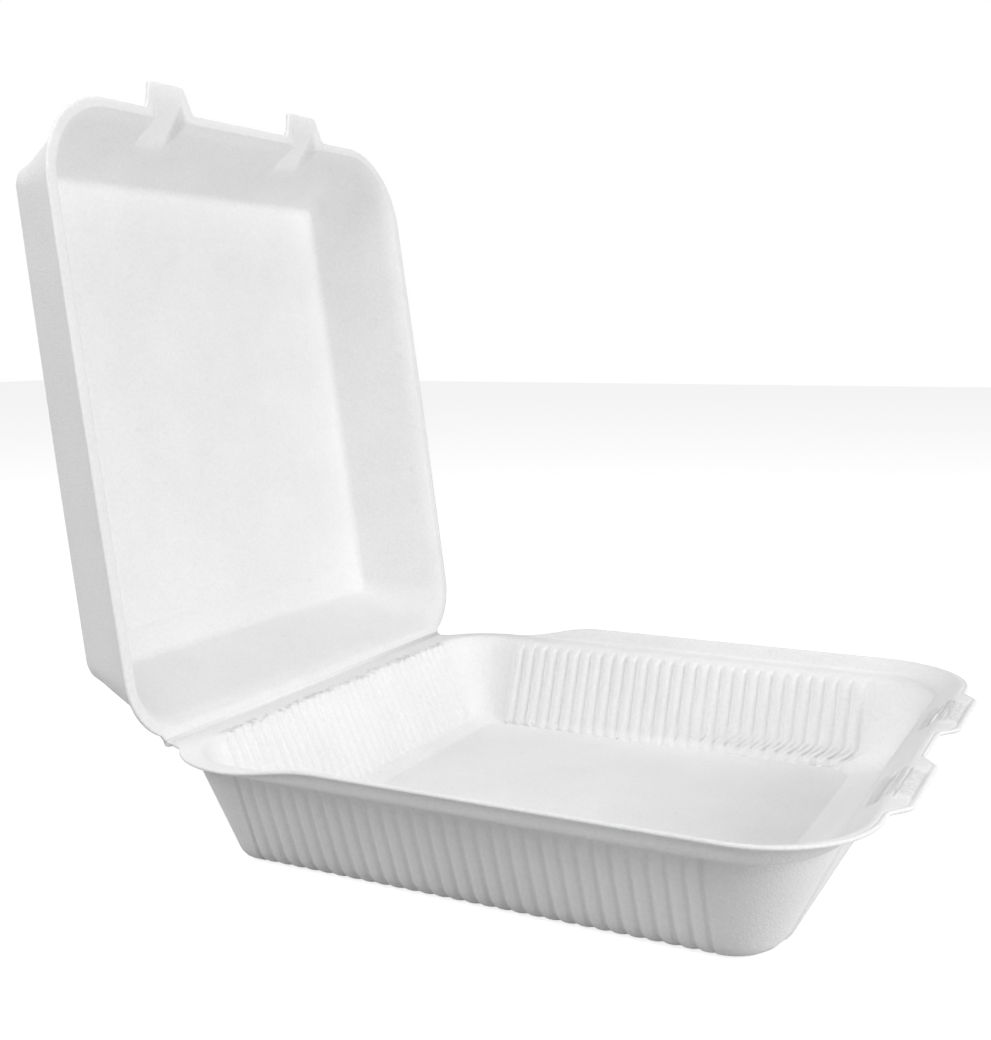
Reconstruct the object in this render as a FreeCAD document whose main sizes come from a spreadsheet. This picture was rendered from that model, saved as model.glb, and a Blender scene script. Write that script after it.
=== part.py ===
import FreeCAD, Part
import Sketcher
import math
import os

# One-piece foam clamshell container: fluted base tray and hinged lid, shown open.
# Frame: origin at the middle of the underside, +Z up, the ears at -Y, the crease at +Y.

DRIVING_SIZES = [
    ("rim_width", 230.0, "across the raised lip"),
    ("rim_depth", 243.9, "crease line to front edge"),
    ("crease_height", 39.4, "crease line above the table"),
    ("rim_height", 45.0, "top of the raised lip"),
    ("sheet", 2.5, "foam sheet thickness"),
    ("wall_draft", 20.5, "slope of the tray walls in degrees"),
    ("shoulder_height", 36.9, "where the flutes end"),
    ("side_inset", 8.2, "lip edge to shoulder at the sides"),
    ("rear_inset", 10.7, "crease line to rear shoulder"),
    ("front_inset", 15.0, "front edge to front shoulder"),
    ("foot_radius", 14.0, "plan corner radius of the foot"),
    ("foot_round", 9.0, "rounding under the tray walls"),
    ("floor_round", 8.0, "rounding at the foot of the inner walls"),
    ("front_corner", 40.0, "plan corner radius of the front rim"),
    ("rear_corner", 34.0, "plan corner radius of the rear rim"),
    ("rim_sheet", 1.5, "thickness of the pressed rims"),
    ("lip_run", 41.0, "length over which the lip rises from the crease side"),
    ("lip_start", 34.0, "crease line to the foot of that rise"),
    ("flute_pitch", 5.55, "pitch of the flutes on the side walls"),
    ("flute_count", 30, "flutes on each side wall"),
    ("flute_start", 35.0, "crease line to the first side flute"),
    ("rear_pitch", 4.95, "pitch of the flutes on the crease wall"),
    ("rear_count", 33, "flutes on the crease wall"),
    ("flute_depth", 0.7, "height of a flute"),
    ("lid_width", 221.6, "across the lid flange"),
    ("lid_length", 226.9, "crease line to the lid's front edge"),
    ("lid_depth", 35.0, "inner depth of the lid"),
    ("lid_front_corner", 34.0, "plan corner radius of the lid's front"),
    ("lid_rear_corner", 24.0, "plan corner radius of the lid at the crease"),
    ("lid_top_corner", 11.0, "plan corner radius of the lid's inner top"),
    ("flange_width", 5.6, "flat flange round the lid"),
    ("lid_top_inset", 23.0, "flange edge to the inner top"),
    ("lid_top_round", 5.0, "rounding at the edge of the inner top"),
    ("lid_angle", 98.1, "lid opening in the photograph, in degrees"),
    ("latch_offset", 43.0, "middle to each tongue, ear and slot"),
    ("tongue_length", 10.0, "tongue beyond the lid's front edge"),
    ("tongue_tip", 19.0, "width of a tongue's tip"),
    ("tongue_root", 26.0, "width of a tongue at the flange"),
    ("channel_width", 16.0, "width of the channel in a tongue"),
    ("ear_length", 5.2, "ear beyond the front edge"),
    ("ear_tip", 42.0, "width of an ear's tip"),
    ("ear_root", 57.0, "width of an ear at the rim"),
    ("slot_width", 27.0, "width of a latch slot"),
    ("panel_width", 140.0, "line pressed into the lid's top, across"),
    ("panel_length", 154.0, "the same line, along"),
    ("panel_corner", 9.0, "corner radius of that line"),
    ("panel_line", 2.2, "width of that line"),
    ("panel_depth", 0.8, "depth of that line"),
    ("running_gap", 0.3, "clearance between lid and base"),
    ("ground", 0.0, "zero"),
    ("rib_flat", 0.9, "flat between two flutes"),
    ("slot_height", 3.0, "height of a latch slot"),
    ("slot_over", 1.5, "how far the cut of a slot runs on before and behind the riser"),
    ("slot_round", 0.45, "corner radius of a slot per height"),
    ("bump_length", 26.0, "raised patch on an ear, across"),
    ("bump_height", 0.9, "height of that patch"),
    ("bump_inset", 3.5, "front edge to the middle of that patch"),
    ("bump_share", 0.8, "reach of that patch per reach of the ear"),
    ("bump_round", 0.8, "corner radius of that patch per reach"),
    ("ear_round", 0.6, "corner radius of an ear per length"),
    ("tongue_round", 0.3, "corner radius of a tongue per length"),
    ("lid_clear", 0.5, "clearance round the closed lid's flange"),
    ("ledge_sheet", 1.2, "thickness at the edge of the ledge"),
    ("lip_bevel", 0.6, "the lip's outside behind its edge"),
    ("lip_step", 0.4, "the lip's outer foot below the underside of its edge"),
    ("lip_slope", 0.3, "run of the lip's inner face per unit of height"),
    ("riser_sheet", 1.9, "front riser's foot, level"),
    ("riser_out", 1.15, "run of the front riser's outside per unit of height"),
    ("riser_in", 1.05, "run of the front riser's inside per unit of height"),
    ("seat_step", 0.5, "drop of the ledge at its inner edge"),
    ("seat_side", 1.4, "wall top to the ledge's inner edge, sides and crease"),
    ("seat_near", 1.0, "wall top to the ledge's inner edge, front"),
    ("lip_over", 1.0, "how far the cut inside the lip runs above it"),
    ("crease_over", 4.0, "how far that cut runs beyond the crease"),
    ("rise_over", 6.0, "how far the cut of the lip's rise runs beyond the form"),
    ("band_share", 0.7, "height of the smooth band at the crease per floor rounding"),
    ("channel_inset", 6.0, "tongue's tip to the front of its channel"),
    ("channel_slope", 1.0, "run of the channel's front"),
    ("channel_share", 1.5, "depth of the channel's front per sheet"),
    ("channel_run", 13.5, "lid's front edge to where the channel meets the wall"),
    ("channel_over", 8.0, "how far the cut of a channel runs into the hollow"),
    ("ridge_near", 0.95, "thickness before the channel's foot per sheet"),
    ("ridge_far", 0.85, "thickness before the channel's front per sheet"),
    ("ridge_over", 0.75, "thickness above the channel's front per sheet"),
    ("ridge_root", 1.15, "thickness above the channel's root per sheet"),
]

# Lengths that follow from the driving sizes, each written once. d stands for the sheet above.
DERIVED_SIZES = [
    ("wall_run", "=tan(Sizes.wall_draft * 1 deg)", "outward run of a wall per unit of height"),
    ("wall_band", "=(Sizes.sheet + Sizes.flute_depth) / cos(Sizes.wall_draft * 1 deg)", "level wall"),
    ("rim_half", "=Sizes.rim_width / 2", "middle to lip edge"),
    ("rim_reach", "=Sizes.rim_depth / 2", "middle to front edge and to the crease"),
    ("ledge_level", "=Sizes.crease_height - Sizes.running_gap", "seat of the closed lid"),
    ("shoulder_half", "=rim_half - Sizes.side_inset", "outer half width at the shoulder"),
    ("shoulder_front", "=rim_reach - Sizes.front_inset", "front shoulder from the middle"),
    ("shoulder_rear", "=rim_reach - Sizes.rear_inset", "rear shoulder from the middle"),
    ("shoulder_depth", "=shoulder_front + shoulder_rear", "depth over the shoulders"),
    ("wall_lean", "=wall_run * Sizes.shoulder_height", "foot to shoulder, level"),
    ("foot_half", "=shoulder_half - wall_lean", "outer half width at the foot"),
    ("foot_front", "=shoulder_front - wall_lean", "front foot from the middle"),
    ("foot_depth", "=shoulder_depth - 2 * wall_lean", "depth over the foot"),
    ("shoulder_corner", "=Sizes.foot_radius + wall_lean", "plan corner radius at the shoulder"),
    ("ledge_half", "=Sizes.lid_width / 2 + Sizes.lid_clear", "ledge half width, clear of the lid"),
    ("ledge_front", "=Sizes.lid_length - rim_reach + Sizes.lid_clear", "ledge front edge"),
    ("under_level", "=ledge_level - Sizes.ledge_sheet", "underside of the ledge at its edge"),
    ("under_half", "=ledge_half + Sizes.lip_bevel", "underside of the ledge, half width"),
    ("under_front", "=ledge_front + Sizes.riser_sheet", "underside of the ledge at the front"),
    ("under_rear", "=rim_reach - Sizes.running_gap", "rear edge of the base at the crease"),
    ("under_depth", "=under_front + under_rear", "underside of the ledge, depth"),
    ("lip_level", "=Sizes.rim_height - Sizes.rim_sheet - Sizes.lip_step", "lip's outer foot"),
    ("lip_half", "=rim_half - Sizes.lip_bevel", "lip half width at that level"),
    ("lip_front", "=under_front + (lip_level - under_level) * Sizes.riser_out", "riser there"),
    ("lip_depth", "=lip_front + under_rear", "depth at that level"),
    ("edge_level", "=Sizes.rim_height - Sizes.rim_sheet", "underside of the front rim"),
    ("edge_depth", "=rim_reach + under_rear", "depth over the rim"),
    ("inner_half", "=foot_half + wall_run * Sizes.sheet - wall_band", "floor half width"),
    ("inner_front", "=foot_front + wall_run * Sizes.sheet - wall_band", "floor front from the middle"),
    ("inner_depth", "=foot_depth + 2 * (wall_run * Sizes.sheet - wall_band)", "floor depth"),
    ("inner_corner", "=Sizes.foot_radius + wall_run * Sizes.sheet - wall_band", "floor corner radius"),
    ("inner_lean", "=wall_run * (Sizes.shoulder_height - Sizes.sheet)", "floor to wall top, level"),
    ("mouth_half", "=inner_half + inner_lean", "inner half width at the wall top"),
    ("mouth_front", "=inner_front + inner_lean", "inner front at the wall top"),
    ("mouth_depth", "=inner_depth + 2 * inner_lean", "inner depth at the wall top"),
    ("mouth_corner", "=inner_corner + inner_lean", "inner corner radius at the wall top"),
    ("seat_level", "=ledge_level - Sizes.seat_step", "inner edge of the ledge"),
    ("seat_half", "=mouth_half + Sizes.seat_side", "ledge inner edge, half width"),
    ("seat_front", "=mouth_front + Sizes.seat_near", "ledge inner edge at the front"),
    ("seat_depth", "=mouth_depth + Sizes.seat_near + Sizes.seat_side", "ledge inner edge, depth"),
    ("open_rear", "=rim_reach + Sizes.crease_over", "where the cut leaves the crease side"),
    ("ledge_depth", "=ledge_front + open_rear", "depth of the cut over the ledge"),
    ("cut_level", "=Sizes.rim_height + Sizes.lip_over", "top of the cut inside the lip"),
    ("lip_lean", "=(cut_level - ledge_level) * Sizes.lip_slope", "lean of the lip's inner face"),
    ("cut_half", "=ledge_half + lip_lean", "cut inside the lip, half width"),
    ("cut_front", "=ledge_front + (cut_level - ledge_level) * Sizes.riser_in", "riser at the front"),
    ("cut_depth", "=cut_front + open_rear", "depth of the cut inside the lip"),
    ("ledge_front_corner", "=Sizes.lid_front_corner + Sizes.lid_clear", "corner radius of the ledge"),
    ("ledge_rear_corner", "=Sizes.lid_rear_corner + Sizes.lid_clear", "plan corner radius at the crease"),
    ("lip_drop", "=Sizes.rim_height - ledge_level", "height of the raised lip"),
    ("lip_arc", "=(Sizes.lip_run ^ 2 + lip_drop ^ 2) / (2 * lip_drop)", "arc of the rise"),
    ("rise_foot", "=rim_reach - Sizes.lip_start", "foot of that arc from the middle"),
    ("flute_first", "=rim_reach - Sizes.flute_start", "first side flute from the middle"),
    ("flute_run", "=(Sizes.flute_count - 1) * Sizes.flute_pitch", "first to last side flute"),
    ("rear_run", "=(Sizes.rear_count - 1) * Sizes.rear_pitch", "first to last crease flute"),
    ("foot_rear", "=foot_depth - foot_front", "rear foot from the middle"),
    ("inner_rear", "=inner_depth - inner_front", "floor rear from the middle"),
    ("side_height", "=Sizes.shoulder_height - Sizes.sheet", "height of the inner flutes"),
    ("lid_half", "=Sizes.lid_width / 2", "lid half width"),
    ("lid_depth_plan", "=Sizes.lid_length - Sizes.running_gap / 2", "lid edge to edge"),
    ("lid_run", "=(Sizes.lid_top_inset - Sizes.flange_width) / Sizes.lid_depth", "lid wall, run"),
    ("lid_band", "=Sizes.sheet * sqrt(1 + lid_run ^ 2)", "lid wall, level"),
    ("dome_inset", "=Sizes.flange_width - lid_band", "flange edge to the outer wall"),
    ("dome_height", "=Sizes.lid_depth + Sizes.sheet", "flange to the outer top"),
    ("dome_lean", "=lid_run * dome_height", "outer wall, level"),
    ("dome_half", "=lid_half - dome_inset", "outer wall half width at the flange"),
    ("dome_front", "=Sizes.lid_length - dome_inset", "outer wall at the front"),
    ("dome_depth", "=Sizes.lid_length - 2 * dome_inset", "outer wall, depth"),
    ("lid_draft", "=atan(lid_run)", "slope of the lid walls"),
    ("dome_corner", "=Sizes.lid_top_corner + Sizes.sheet + dome_lean", "outer corner radius"),
    ("crown_round", "=Sizes.lid_top_round + Sizes.sheet", "rounding of the outer top edge"),
    ("hollow_half", "=lid_half - Sizes.flange_width", "lid hollow half width at the flange"),
    ("hollow_front", "=Sizes.lid_length - Sizes.flange_width", "lid hollow front"),
    ("hollow_depth", "=Sizes.lid_length - 2 * Sizes.flange_width", "lid hollow depth"),
    ("hollow_corner", "=Sizes.lid_top_corner + lid_run * Sizes.lid_depth", "hollow corner radius"),
    ("line_half", "=Sizes.panel_width / 2", "pressed line, outer half width"),
    ("line_front", "=(Sizes.lid_length + Sizes.panel_length) / 2", "pressed line, front"),
    ("line_inner_half", "=line_half - Sizes.panel_line", "pressed line, inner half width"),
    ("line_inner_front", "=line_front - Sizes.panel_line", "pressed line, inner front"),
    ("line_inner_depth", "=Sizes.panel_length - 2 * Sizes.panel_line", "pressed line, inner depth"),
    ("line_inner_corner", "=Sizes.panel_corner - Sizes.panel_line", "pressed line, inner corner"),
    ("flute_open", "=(Sizes.flute_pitch - Sizes.rib_flat) / 2", "half width of a side flute"),
    ("rear_open", "=(Sizes.rear_pitch - Sizes.rib_flat) / 2", "half width of a crease flute"),
    ("flute_arc", "=(flute_open ^ 2 + Sizes.flute_depth ^ 2) / (2 * Sizes.flute_depth)", "side rib"),
    ("rear_arc", "=(rear_open ^ 2 + Sizes.flute_depth ^ 2) / (2 * Sizes.flute_depth)", "crease rib"),
    ("first_low", "=flute_first - flute_open", "first side flute, near edge"),
    ("first_high", "=flute_first + flute_open", "first side flute, far edge"),
    ("groove_half", "=foot_half - Sizes.flute_depth", "bottom of a groove at the side foot"),
    ("groove_rear", "=foot_rear - Sizes.flute_depth", "bottom of a groove at the crease foot"),
    ("beyond_half", "=foot_half + Sizes.flute_depth", "clear of the side wall"),
    ("beyond_rear", "=foot_rear + Sizes.flute_depth", "clear of the crease wall"),
    ("rear_first", "=rear_run / 2", "first crease flute from the middle"),
    ("rear_low", "=rear_first - rear_open", "first crease flute, near edge"),
    ("rear_high", "=rear_first + rear_open", "first crease flute, far edge"),
    ("within_half", "=inner_half - Sizes.floor_round", "clear of the inner side wall"),
    ("band_level", "=Sizes.sheet + Sizes.floor_round * Sizes.band_share", "top of the smooth band"),
    ("band_rear", "=inner_rear + wall_run * (band_level - Sizes.sheet)", "inner crease wall there"),
    ("band_inner", "=band_rear - Sizes.flute_depth", "clear of it"),
    ("band_height", "=Sizes.shoulder_height - band_level", "height of the inner crease flutes"),
    ("rise_top", "=rise_foot - Sizes.lip_run", "where the lip is at full height"),
    ("past_rear", "=rim_reach + Sizes.rise_over", "beyond the crease"),
    ("past_top", "=Sizes.rim_height + Sizes.rise_over", "above the rim"),
    ("ear_tip_half", "=Sizes.ear_tip / 2", "half width of an ear's tip"),
    ("ear_root_half", "=Sizes.ear_root / 2", "half width of an ear at the rim"),
    ("ear_end", "=rim_reach + Sizes.ear_length", "tip of an ear from the middle"),
    ("ear_inside", "=rim_reach - Sizes.rim_sheet", "where an ear is rooted in the rim"),
    ("ear_corner", "=Sizes.ear_length * Sizes.ear_round", "corner radius of an ear"),
    ("bump_middle", "=rim_reach - Sizes.bump_inset", "raised patch from the middle"),
    ("bump_half", "=Sizes.bump_length / 2", "raised patch, half length"),
    ("bump_reach", "=Sizes.ear_length * Sizes.bump_share", "raised patch, half depth"),
    ("bump_span", "=2 * bump_reach", "raised patch, depth"),
    ("bump_corner", "=bump_reach * Sizes.bump_round", "raised patch, corner radius"),
    ("slot_half", "=Sizes.slot_width / 2", "slot half width"),
    ("slot_reach", "=Sizes.slot_height / 2", "slot half height"),
    ("slot_corner", "=Sizes.slot_height * Sizes.slot_round", "slot corner radius"),
    ("slot_middle", "=ledge_level + slot_reach", "middle height of a slot"),
    ("front_span", "=lip_front + Sizes.slot_over", "outside of the riser from the middle"),
    ("slot_depth", "=front_span - ledge_front + Sizes.slot_over", "cut through the riser"),
    ("tip_half", "=Sizes.tongue_tip / 2", "half width of a tongue's tip"),
    ("root_half", "=Sizes.tongue_root / 2", "half width of a tongue at the flange"),
    ("tongue_end", "=Sizes.lid_length + Sizes.tongue_length", "tip of a tongue from the crease"),
    ("tongue_inside", "=Sizes.lid_length - Sizes.flange_width / 2", "root of a tongue"),
    ("tongue_corner", "=Sizes.tongue_length * Sizes.tongue_round", "corner radius of a tongue"),
    ("channel_end", "=tongue_end - Sizes.channel_inset", "front of the channel from the crease"),
    ("channel_deep", "=Sizes.sheet * Sizes.channel_share", "depth of the channel at its front"),
    ("channel_lip", "=channel_end - Sizes.channel_slope", "front of the channel at that depth"),
    ("channel_root", "=Sizes.lid_length - Sizes.channel_run", "where the channel meets the lid wall"),
    ("channel_back", "=channel_root - Sizes.channel_over", "inside the hollow"),
    ("channel_high", "=(hollow_front - channel_root) / lid_run", "height where it meets the wall"),
    ("ridge_end", "=channel_end + Sizes.sheet * Sizes.ridge_near", "outside of the channel's front"),
    ("ridge_lip", "=channel_lip + Sizes.sheet * Sizes.ridge_far", "outside of the channel's front, high"),
    ("ridge_deep", "=channel_deep + Sizes.sheet * Sizes.ridge_over", "outside of its front"),
    ("ridge_high", "=channel_high + Sizes.sheet * Sizes.ridge_root", "outside of its root"),
    ("ridge_width", "=Sizes.channel_width + 2 * Sizes.sheet", "channel over its walls"),
]

PLANES = {"level": "XY_Plane", "front": "XZ_Plane", "side": "YZ_Plane"}
AXES = {"x": "X_Axis", "y": "Y_Axis"}
SIDES = (-1, 1)
TOLERANCE = 0.01


def make_sheet(document, name, rows):
    """A spreadsheet with a note, a value and an alias in each row."""
    sheet = document.addObject("Spreadsheet::Sheet", name)
    for row, (alias, value, note) in enumerate(rows, start=1):
        sheet.set(f"A{row}", note)
        sheet.set(f"B{row}", str(value))
        sheet.setAlias(f"B{row}", alias)
    document.recompute()
    return sheet


class Piece:
    """One body whose sketches and features take their sizes from the two sheets."""

    def __init__(self, document, label, driving, worked):
        self.document = document
        self.sheets = (driving, worked)
        self.body = document.addObject("PartDesign::Body", label)
        self.body.Label = label

    def path(self, term):
        """The expression for a size's name, which may begin with a minus sign."""
        sign, alias = ("-", term[1:]) if term.startswith("-") else ("", term)
        owner = next(sheet for sheet in self.sheets if sheet.getCellFromAlias(alias))
        return f"{sign}{owner.Name}.{alias}"

    def value(self, term):
        """The number behind a size's name."""
        sign, alias = (-1.0, term[1:]) if term.startswith("-") else (1.0, term)
        owner = next(sheet for sheet in self.sheets if sheet.getCellFromAlias(alias))
        return sign * float(getattr(owner, alias))

    def datum(self, role):
        """One of the body's own origin planes or axes."""
        return next(item for item in self.body.Origin.OriginFeatures if item.Role == role)

    def sketch(self, name, plane, right=None, up=None, out=None):
        """A sketch on an origin plane, moved within and off that plane by named sizes."""
        sketch = self.body.newObject("Sketcher::SketchObject", name)
        sketch.AttachmentSupport = [(self.datum(PLANES[plane]), "")]
        sketch.MapMode = "FlatFace"
        for axis, term in (("x", right), ("y", up), ("z", out)):
            if term is not None:
                sketch.setExpression(f"AttachmentOffset.Base.{axis}", self.path(term))
        return sketch

    def bind(self, sketch, constraint, term):
        """Add one measured constraint and tie it to a named size."""
        index = sketch.addConstraint(constraint)
        sketch.setExpression(f"Constraints[{index}]", self.path(term))

    def pin(self, sketch, geometry, point, right, up):
        """Place one end of an edge at two named distances from the sketch's origin."""
        for kind, term in (("DistanceX", right), ("DistanceY", up)):
            value = self.value(term)
            self.bind(sketch, Sketcher.Constraint(kind, -1, 1, geometry, point, value), term)

    def outline(self, name, level, half, front, depth, front_corner, rear_corner,
                plane="level", right=None, up=None):
        """A rounded rectangle: half width, distance of the front edge, depth and corner radii."""
        sketch = self.sketch(name, plane, right, up, level)
        return self.rounded(sketch, half, front, depth, front_corner, rear_corner)

    def rounded(self, sketch, half, front, depth, front_corner, rear_corner):
        """Draw a rounded rectangle in a sketch; its edges meet smoothly."""
        wide, near = self.value(half), -self.value(front)
        far = near + self.value(depth)
        small, large = self.value(front_corner), self.value(rear_corner)
        quarter = math.pi / 2
        first = sketch.GeometryCount
        corners = ((wide - small, near + small, small, -1), (wide - large, far - large, large, 0),
                   (large - wide, far - large, large, 1), (small - wide, near + small, small, 2))
        edges = ((small - wide, near, wide - small, near), (wide, near + small, wide, far - large),
                 (wide - large, far, large - wide, far), (-wide, far - large, -wide, near + small))
        for (x, y, radius, turn), (x1, y1, x2, y2) in zip(corners, edges):
            sketch.addGeometry(Part.LineSegment(FreeCAD.Vector(x1, y1), FreeCAD.Vector(x2, y2)))
            circle = Part.Circle(FreeCAD.Vector(x, y), FreeCAD.Vector(0, 0, 1), radius)
            sketch.addGeometry(Part.ArcOfCircle(circle, turn * quarter, (turn + 1) * quarter))
        count = len(corners) + len(edges)
        for step in range(count):
            following = (step + 1) % count
            sketch.addConstraint(
                Sketcher.Constraint("Tangent", first + step, 2, first + following, 1))
        for step, kind in ((0, "Horizontal"), (2, "Vertical"), (4, "Horizontal"), (6, "Vertical")):
            sketch.addConstraint(Sketcher.Constraint(kind, first + step))
        sketch.addConstraint(Sketcher.Constraint("Equal", first + 1, first + 7))
        sketch.addConstraint(Sketcher.Constraint("Equal", first + 3, first + 5))
        self.bind(sketch, Sketcher.Constraint("Radius", first + 1, small), front_corner)
        self.bind(sketch, Sketcher.Constraint("Radius", first + 3, large), rear_corner)
        self.bind(sketch, Sketcher.Constraint("DistanceX", -1, 1, first + 2, 1, wide), half)
        self.bind(sketch, Sketcher.Constraint("DistanceX", first + 6, 1, -1, 1, wide), half)
        self.bind(sketch, Sketcher.Constraint("DistanceY", first, 1, -1, 1, -near), front)
        self.bind(sketch, Sketcher.Constraint("DistanceY", first, 1, first + 4, 1, far - near), depth)
        return sketch

    def polygon(self, sketch, corners, arcs=None):
        """A closed profile through named points; arcs maps an edge's number to its radius.

        A radius that begins with a minus sign bulges to the left of the edge's direction.
        """
        arcs = arcs or {}
        points = [FreeCAD.Vector(self.value(right), self.value(up)) for right, up in corners]
        ends = []
        for number, start in enumerate(points):
            end = points[(number + 1) % len(points)]
            if number in arcs:
                edge = Part.Arc(start, self.bulge(start, end, self.value(arcs[number])), end)
            else:
                edge = Part.LineSegment(start, end)
            added = sketch.addGeometry(edge)
            forward = sketch.getPoint(added, 1).distanceToPoint(start) < TOLERANCE
            ends.append((added, 1, 2) if forward else (added, 2, 1))
        for number, (added, start, end) in enumerate(ends):
            following = ends[(number + 1) % len(ends)]
            sketch.addConstraint(
                Sketcher.Constraint("Coincident", added, end, following[0], following[1]))
            self.pin(sketch, added, start, *corners[number])
            if number in arcs:
                term = arcs[number].lstrip("-")
                self.bind(sketch, Sketcher.Constraint("Radius", added, self.value(term)), term)
        return sketch

    @staticmethod
    def bulge(start, end, radius):
        """The middle point of the arc of a given radius between two points."""
        chord = end - start
        reach = chord.Length / 2
        rise = abs(radius) - math.sqrt(radius * radius - reach * reach)
        side = FreeCAD.Vector(chord.y, -chord.x).normalize() * math.copysign(rise, radius)
        return start + chord * 0.5 + side

    def feature(self, kind, name, sketch, **settings):
        """A feature on one sketch. A setting given as text is the name of a size."""
        feature = self.body.newObject(f"PartDesign::{kind}", name)
        feature.Profile = sketch
        for setting, value in settings.items():
            if isinstance(value, str):
                feature.setExpression(setting, self.path(value))
            else:
                setattr(feature, setting, value)
        self.settle(feature)
        return feature

    def slanted(self, name, sketch, lean, height):
        """A cut that follows the slope of a wall: lean is its level run per unit of height."""
        before = self.volume()
        feature = self.body.newObject("PartDesign::Pocket", name)
        feature.Profile = sketch
        feature.UseCustomVector = True
        feature.AlongSketchNormal = True
        feature.Direction = FreeCAD.Vector(0, 0, 1)
        for axis, term in zip("xy", lean):
            if term is not None:
                feature.setExpression(f"Direction.{axis}", self.path(term))
        feature.setExpression("Length", self.path(height))
        self.settle(feature)
        self.compare(name, before)
        return feature

    def loft(self, kind, name, sketches):
        """A straight-sided form through level outlines, lowest first."""
        feature = self.body.newObject(f"PartDesign::{kind}Loft", name)
        feature.Profile = sketches[0]
        feature.Sections = sketches[1:]
        feature.Ruled = True
        self.settle(feature)
        return feature

    def rounding(self, name, radius, choose):
        """Round the edges that a test picks out."""
        base = self.body.Tip
        numbered = enumerate(base.Shape.Edges, start=1)
        edges = [f"Edge{number}" for number, edge in numbered if choose(edge)]
        feature = self.body.newObject("PartDesign::Fillet", name)
        feature.Base = (base, edges)
        feature.setExpression("Radius", self.path(radius))
        self.settle(feature)
        return feature

    def repeat(self, name, original, axis, length, count, backwards=False):
        """Repeat one feature along an axis of the body."""
        before = self.volume()
        feature = self.body.newObject("PartDesign::LinearPattern", name)
        feature.Originals = [original]
        feature.Direction = (self.datum(AXES[axis]), [""])
        feature.Reversed = backwards
        feature.setExpression("Length", self.path(length))
        feature.setExpression("Occurrences", self.path(count))
        self.body.Tip = feature
        self.settle(feature)
        self.compare(name, before)

    def volume(self):
        """Volume of the body so far."""
        return self.body.Tip.Shape.Volume if self.body.Tip else 0.0

    def settle(self, feature):
        """Work the document out and stop if the new feature failed."""
        self.document.recompute()
        if {"Invalid", "Error"} & set(feature.State) or not feature.Shape.isValid():
            raise RuntimeError(f"{feature.Name} failed")

    def compare(self, name, before):
        """Stop if a cut or a pattern has left the volume as it was."""
        if abs(self.volume() - before) < TOLERANCE:
            raise RuntimeError(f"{name} changes nothing")


def level_edge(level):
    """A test for edges that lie in one level plane."""
    return lambda edge: all(abs(vertex.Z - level) < TOLERANCE for vertex in edge.Vertexes)


def upright_edge(reach):
    """A test for upright edges at one distance in front of the middle."""
    def choose(edge):
        low, high = edge.BoundBox.ZMin, edge.BoundBox.ZMax
        level = all(abs(vertex.Y + reach) < TOLERANCE for vertex in edge.Vertexes)
        return level and high - low > edge.Length - TOLERANCE
    return choose


def tray_form(piece):
    """The outside of the tray: walls, underside of the ledge, riser and lip."""
    foot = piece.outline("Foot", None, "foot_half", "foot_front", "foot_depth",
                         "foot_radius", "foot_radius")
    piece.feature("Pad", "TrayWalls", foot, Length="shoulder_height", TaperAngle="wall_draft")
    piece.rounding("FootRound", "foot_round", level_edge(0.0))
    rows = (
        ("shoulder", "shoulder_height", "shoulder_half", "shoulder_front", "shoulder_depth",
         "shoulder_corner", "shoulder_corner"),
        ("under", "under_level", "under_half", "under_front", "under_depth",
         "shoulder_corner", "rear_corner"),
        ("lip", "lip_level", "lip_half", "lip_front", "lip_depth", "ledge_front_corner", "rear_corner"),
        ("edge", "edge_level", "rim_half", "rim_reach", "edge_depth", "front_corner", "rear_corner"),
        ("rim", "rim_height", "rim_half", "rim_reach", "edge_depth", "front_corner", "rear_corner"),
    )
    piece.loft("Additive", "TrayRim", [piece.outline(f"Rim_{row[0]}", *row[1:]) for row in rows])


def tray_hollow(piece):
    """The inside of the tray: floor, walls, ledge and the inner face of the lip."""
    before = piece.volume()
    floor = piece.outline("Floor", "sheet", "inner_half", "inner_front", "inner_depth",
                          "inner_corner", "inner_corner")
    piece.feature("Pocket", "TrayHollow", floor, Length="side_height", TaperAngle="wall_draft",
                  Reversed=True)
    piece.compare("TrayHollow", before)
    piece.rounding("FloorRound", "floor_round", level_edge(piece.value("sheet")))
    rows = (
        ("mouth", "shoulder_height", "mouth_half", "mouth_front", "mouth_depth",
         "mouth_corner", "mouth_corner"),
        ("seat", "seat_level", "seat_half", "seat_front", "seat_depth", "mouth_corner", "mouth_corner"),
        ("ledge", "ledge_level", "ledge_half", "ledge_front", "ledge_depth",
         "ledge_front_corner", "ledge_rear_corner"),
        ("cut", "cut_level", "cut_half", "cut_front", "cut_depth", "front_corner", "rear_corner"),
    )
    piece.loft("Subtractive", "RimHollow", [piece.outline(f"Inner_{row[0]}", *row[1:]) for row in rows])


def side_flutes(piece):
    """Rounded ribs outside and matching channels inside the two side walls."""
    for side in SIDES:
        sign = "-" if side < 0 else ""
        name = "Left" if side < 0 else "Right"
        groove = piece.sketch(f"{name}Groove", "level")
        curve = "-flute_arc" if side < 0 else "flute_arc"
        piece.polygon(groove, [
            (f"{sign}groove_half", "flute_first"), (f"{sign}foot_half", "first_high"),
            (f"{sign}beyond_half", "first_high"), (f"{sign}beyond_half", "first_low"),
            (f"{sign}foot_half", "first_low")], {0: curve, 4: curve})
        cut = piece.slanted(f"{name}GrooveCut", groove, (f"{sign}wall_run", None), "shoulder_height")
        piece.repeat(f"{name}Ribs", cut, "y", "flute_run", "flute_count", True)


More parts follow.
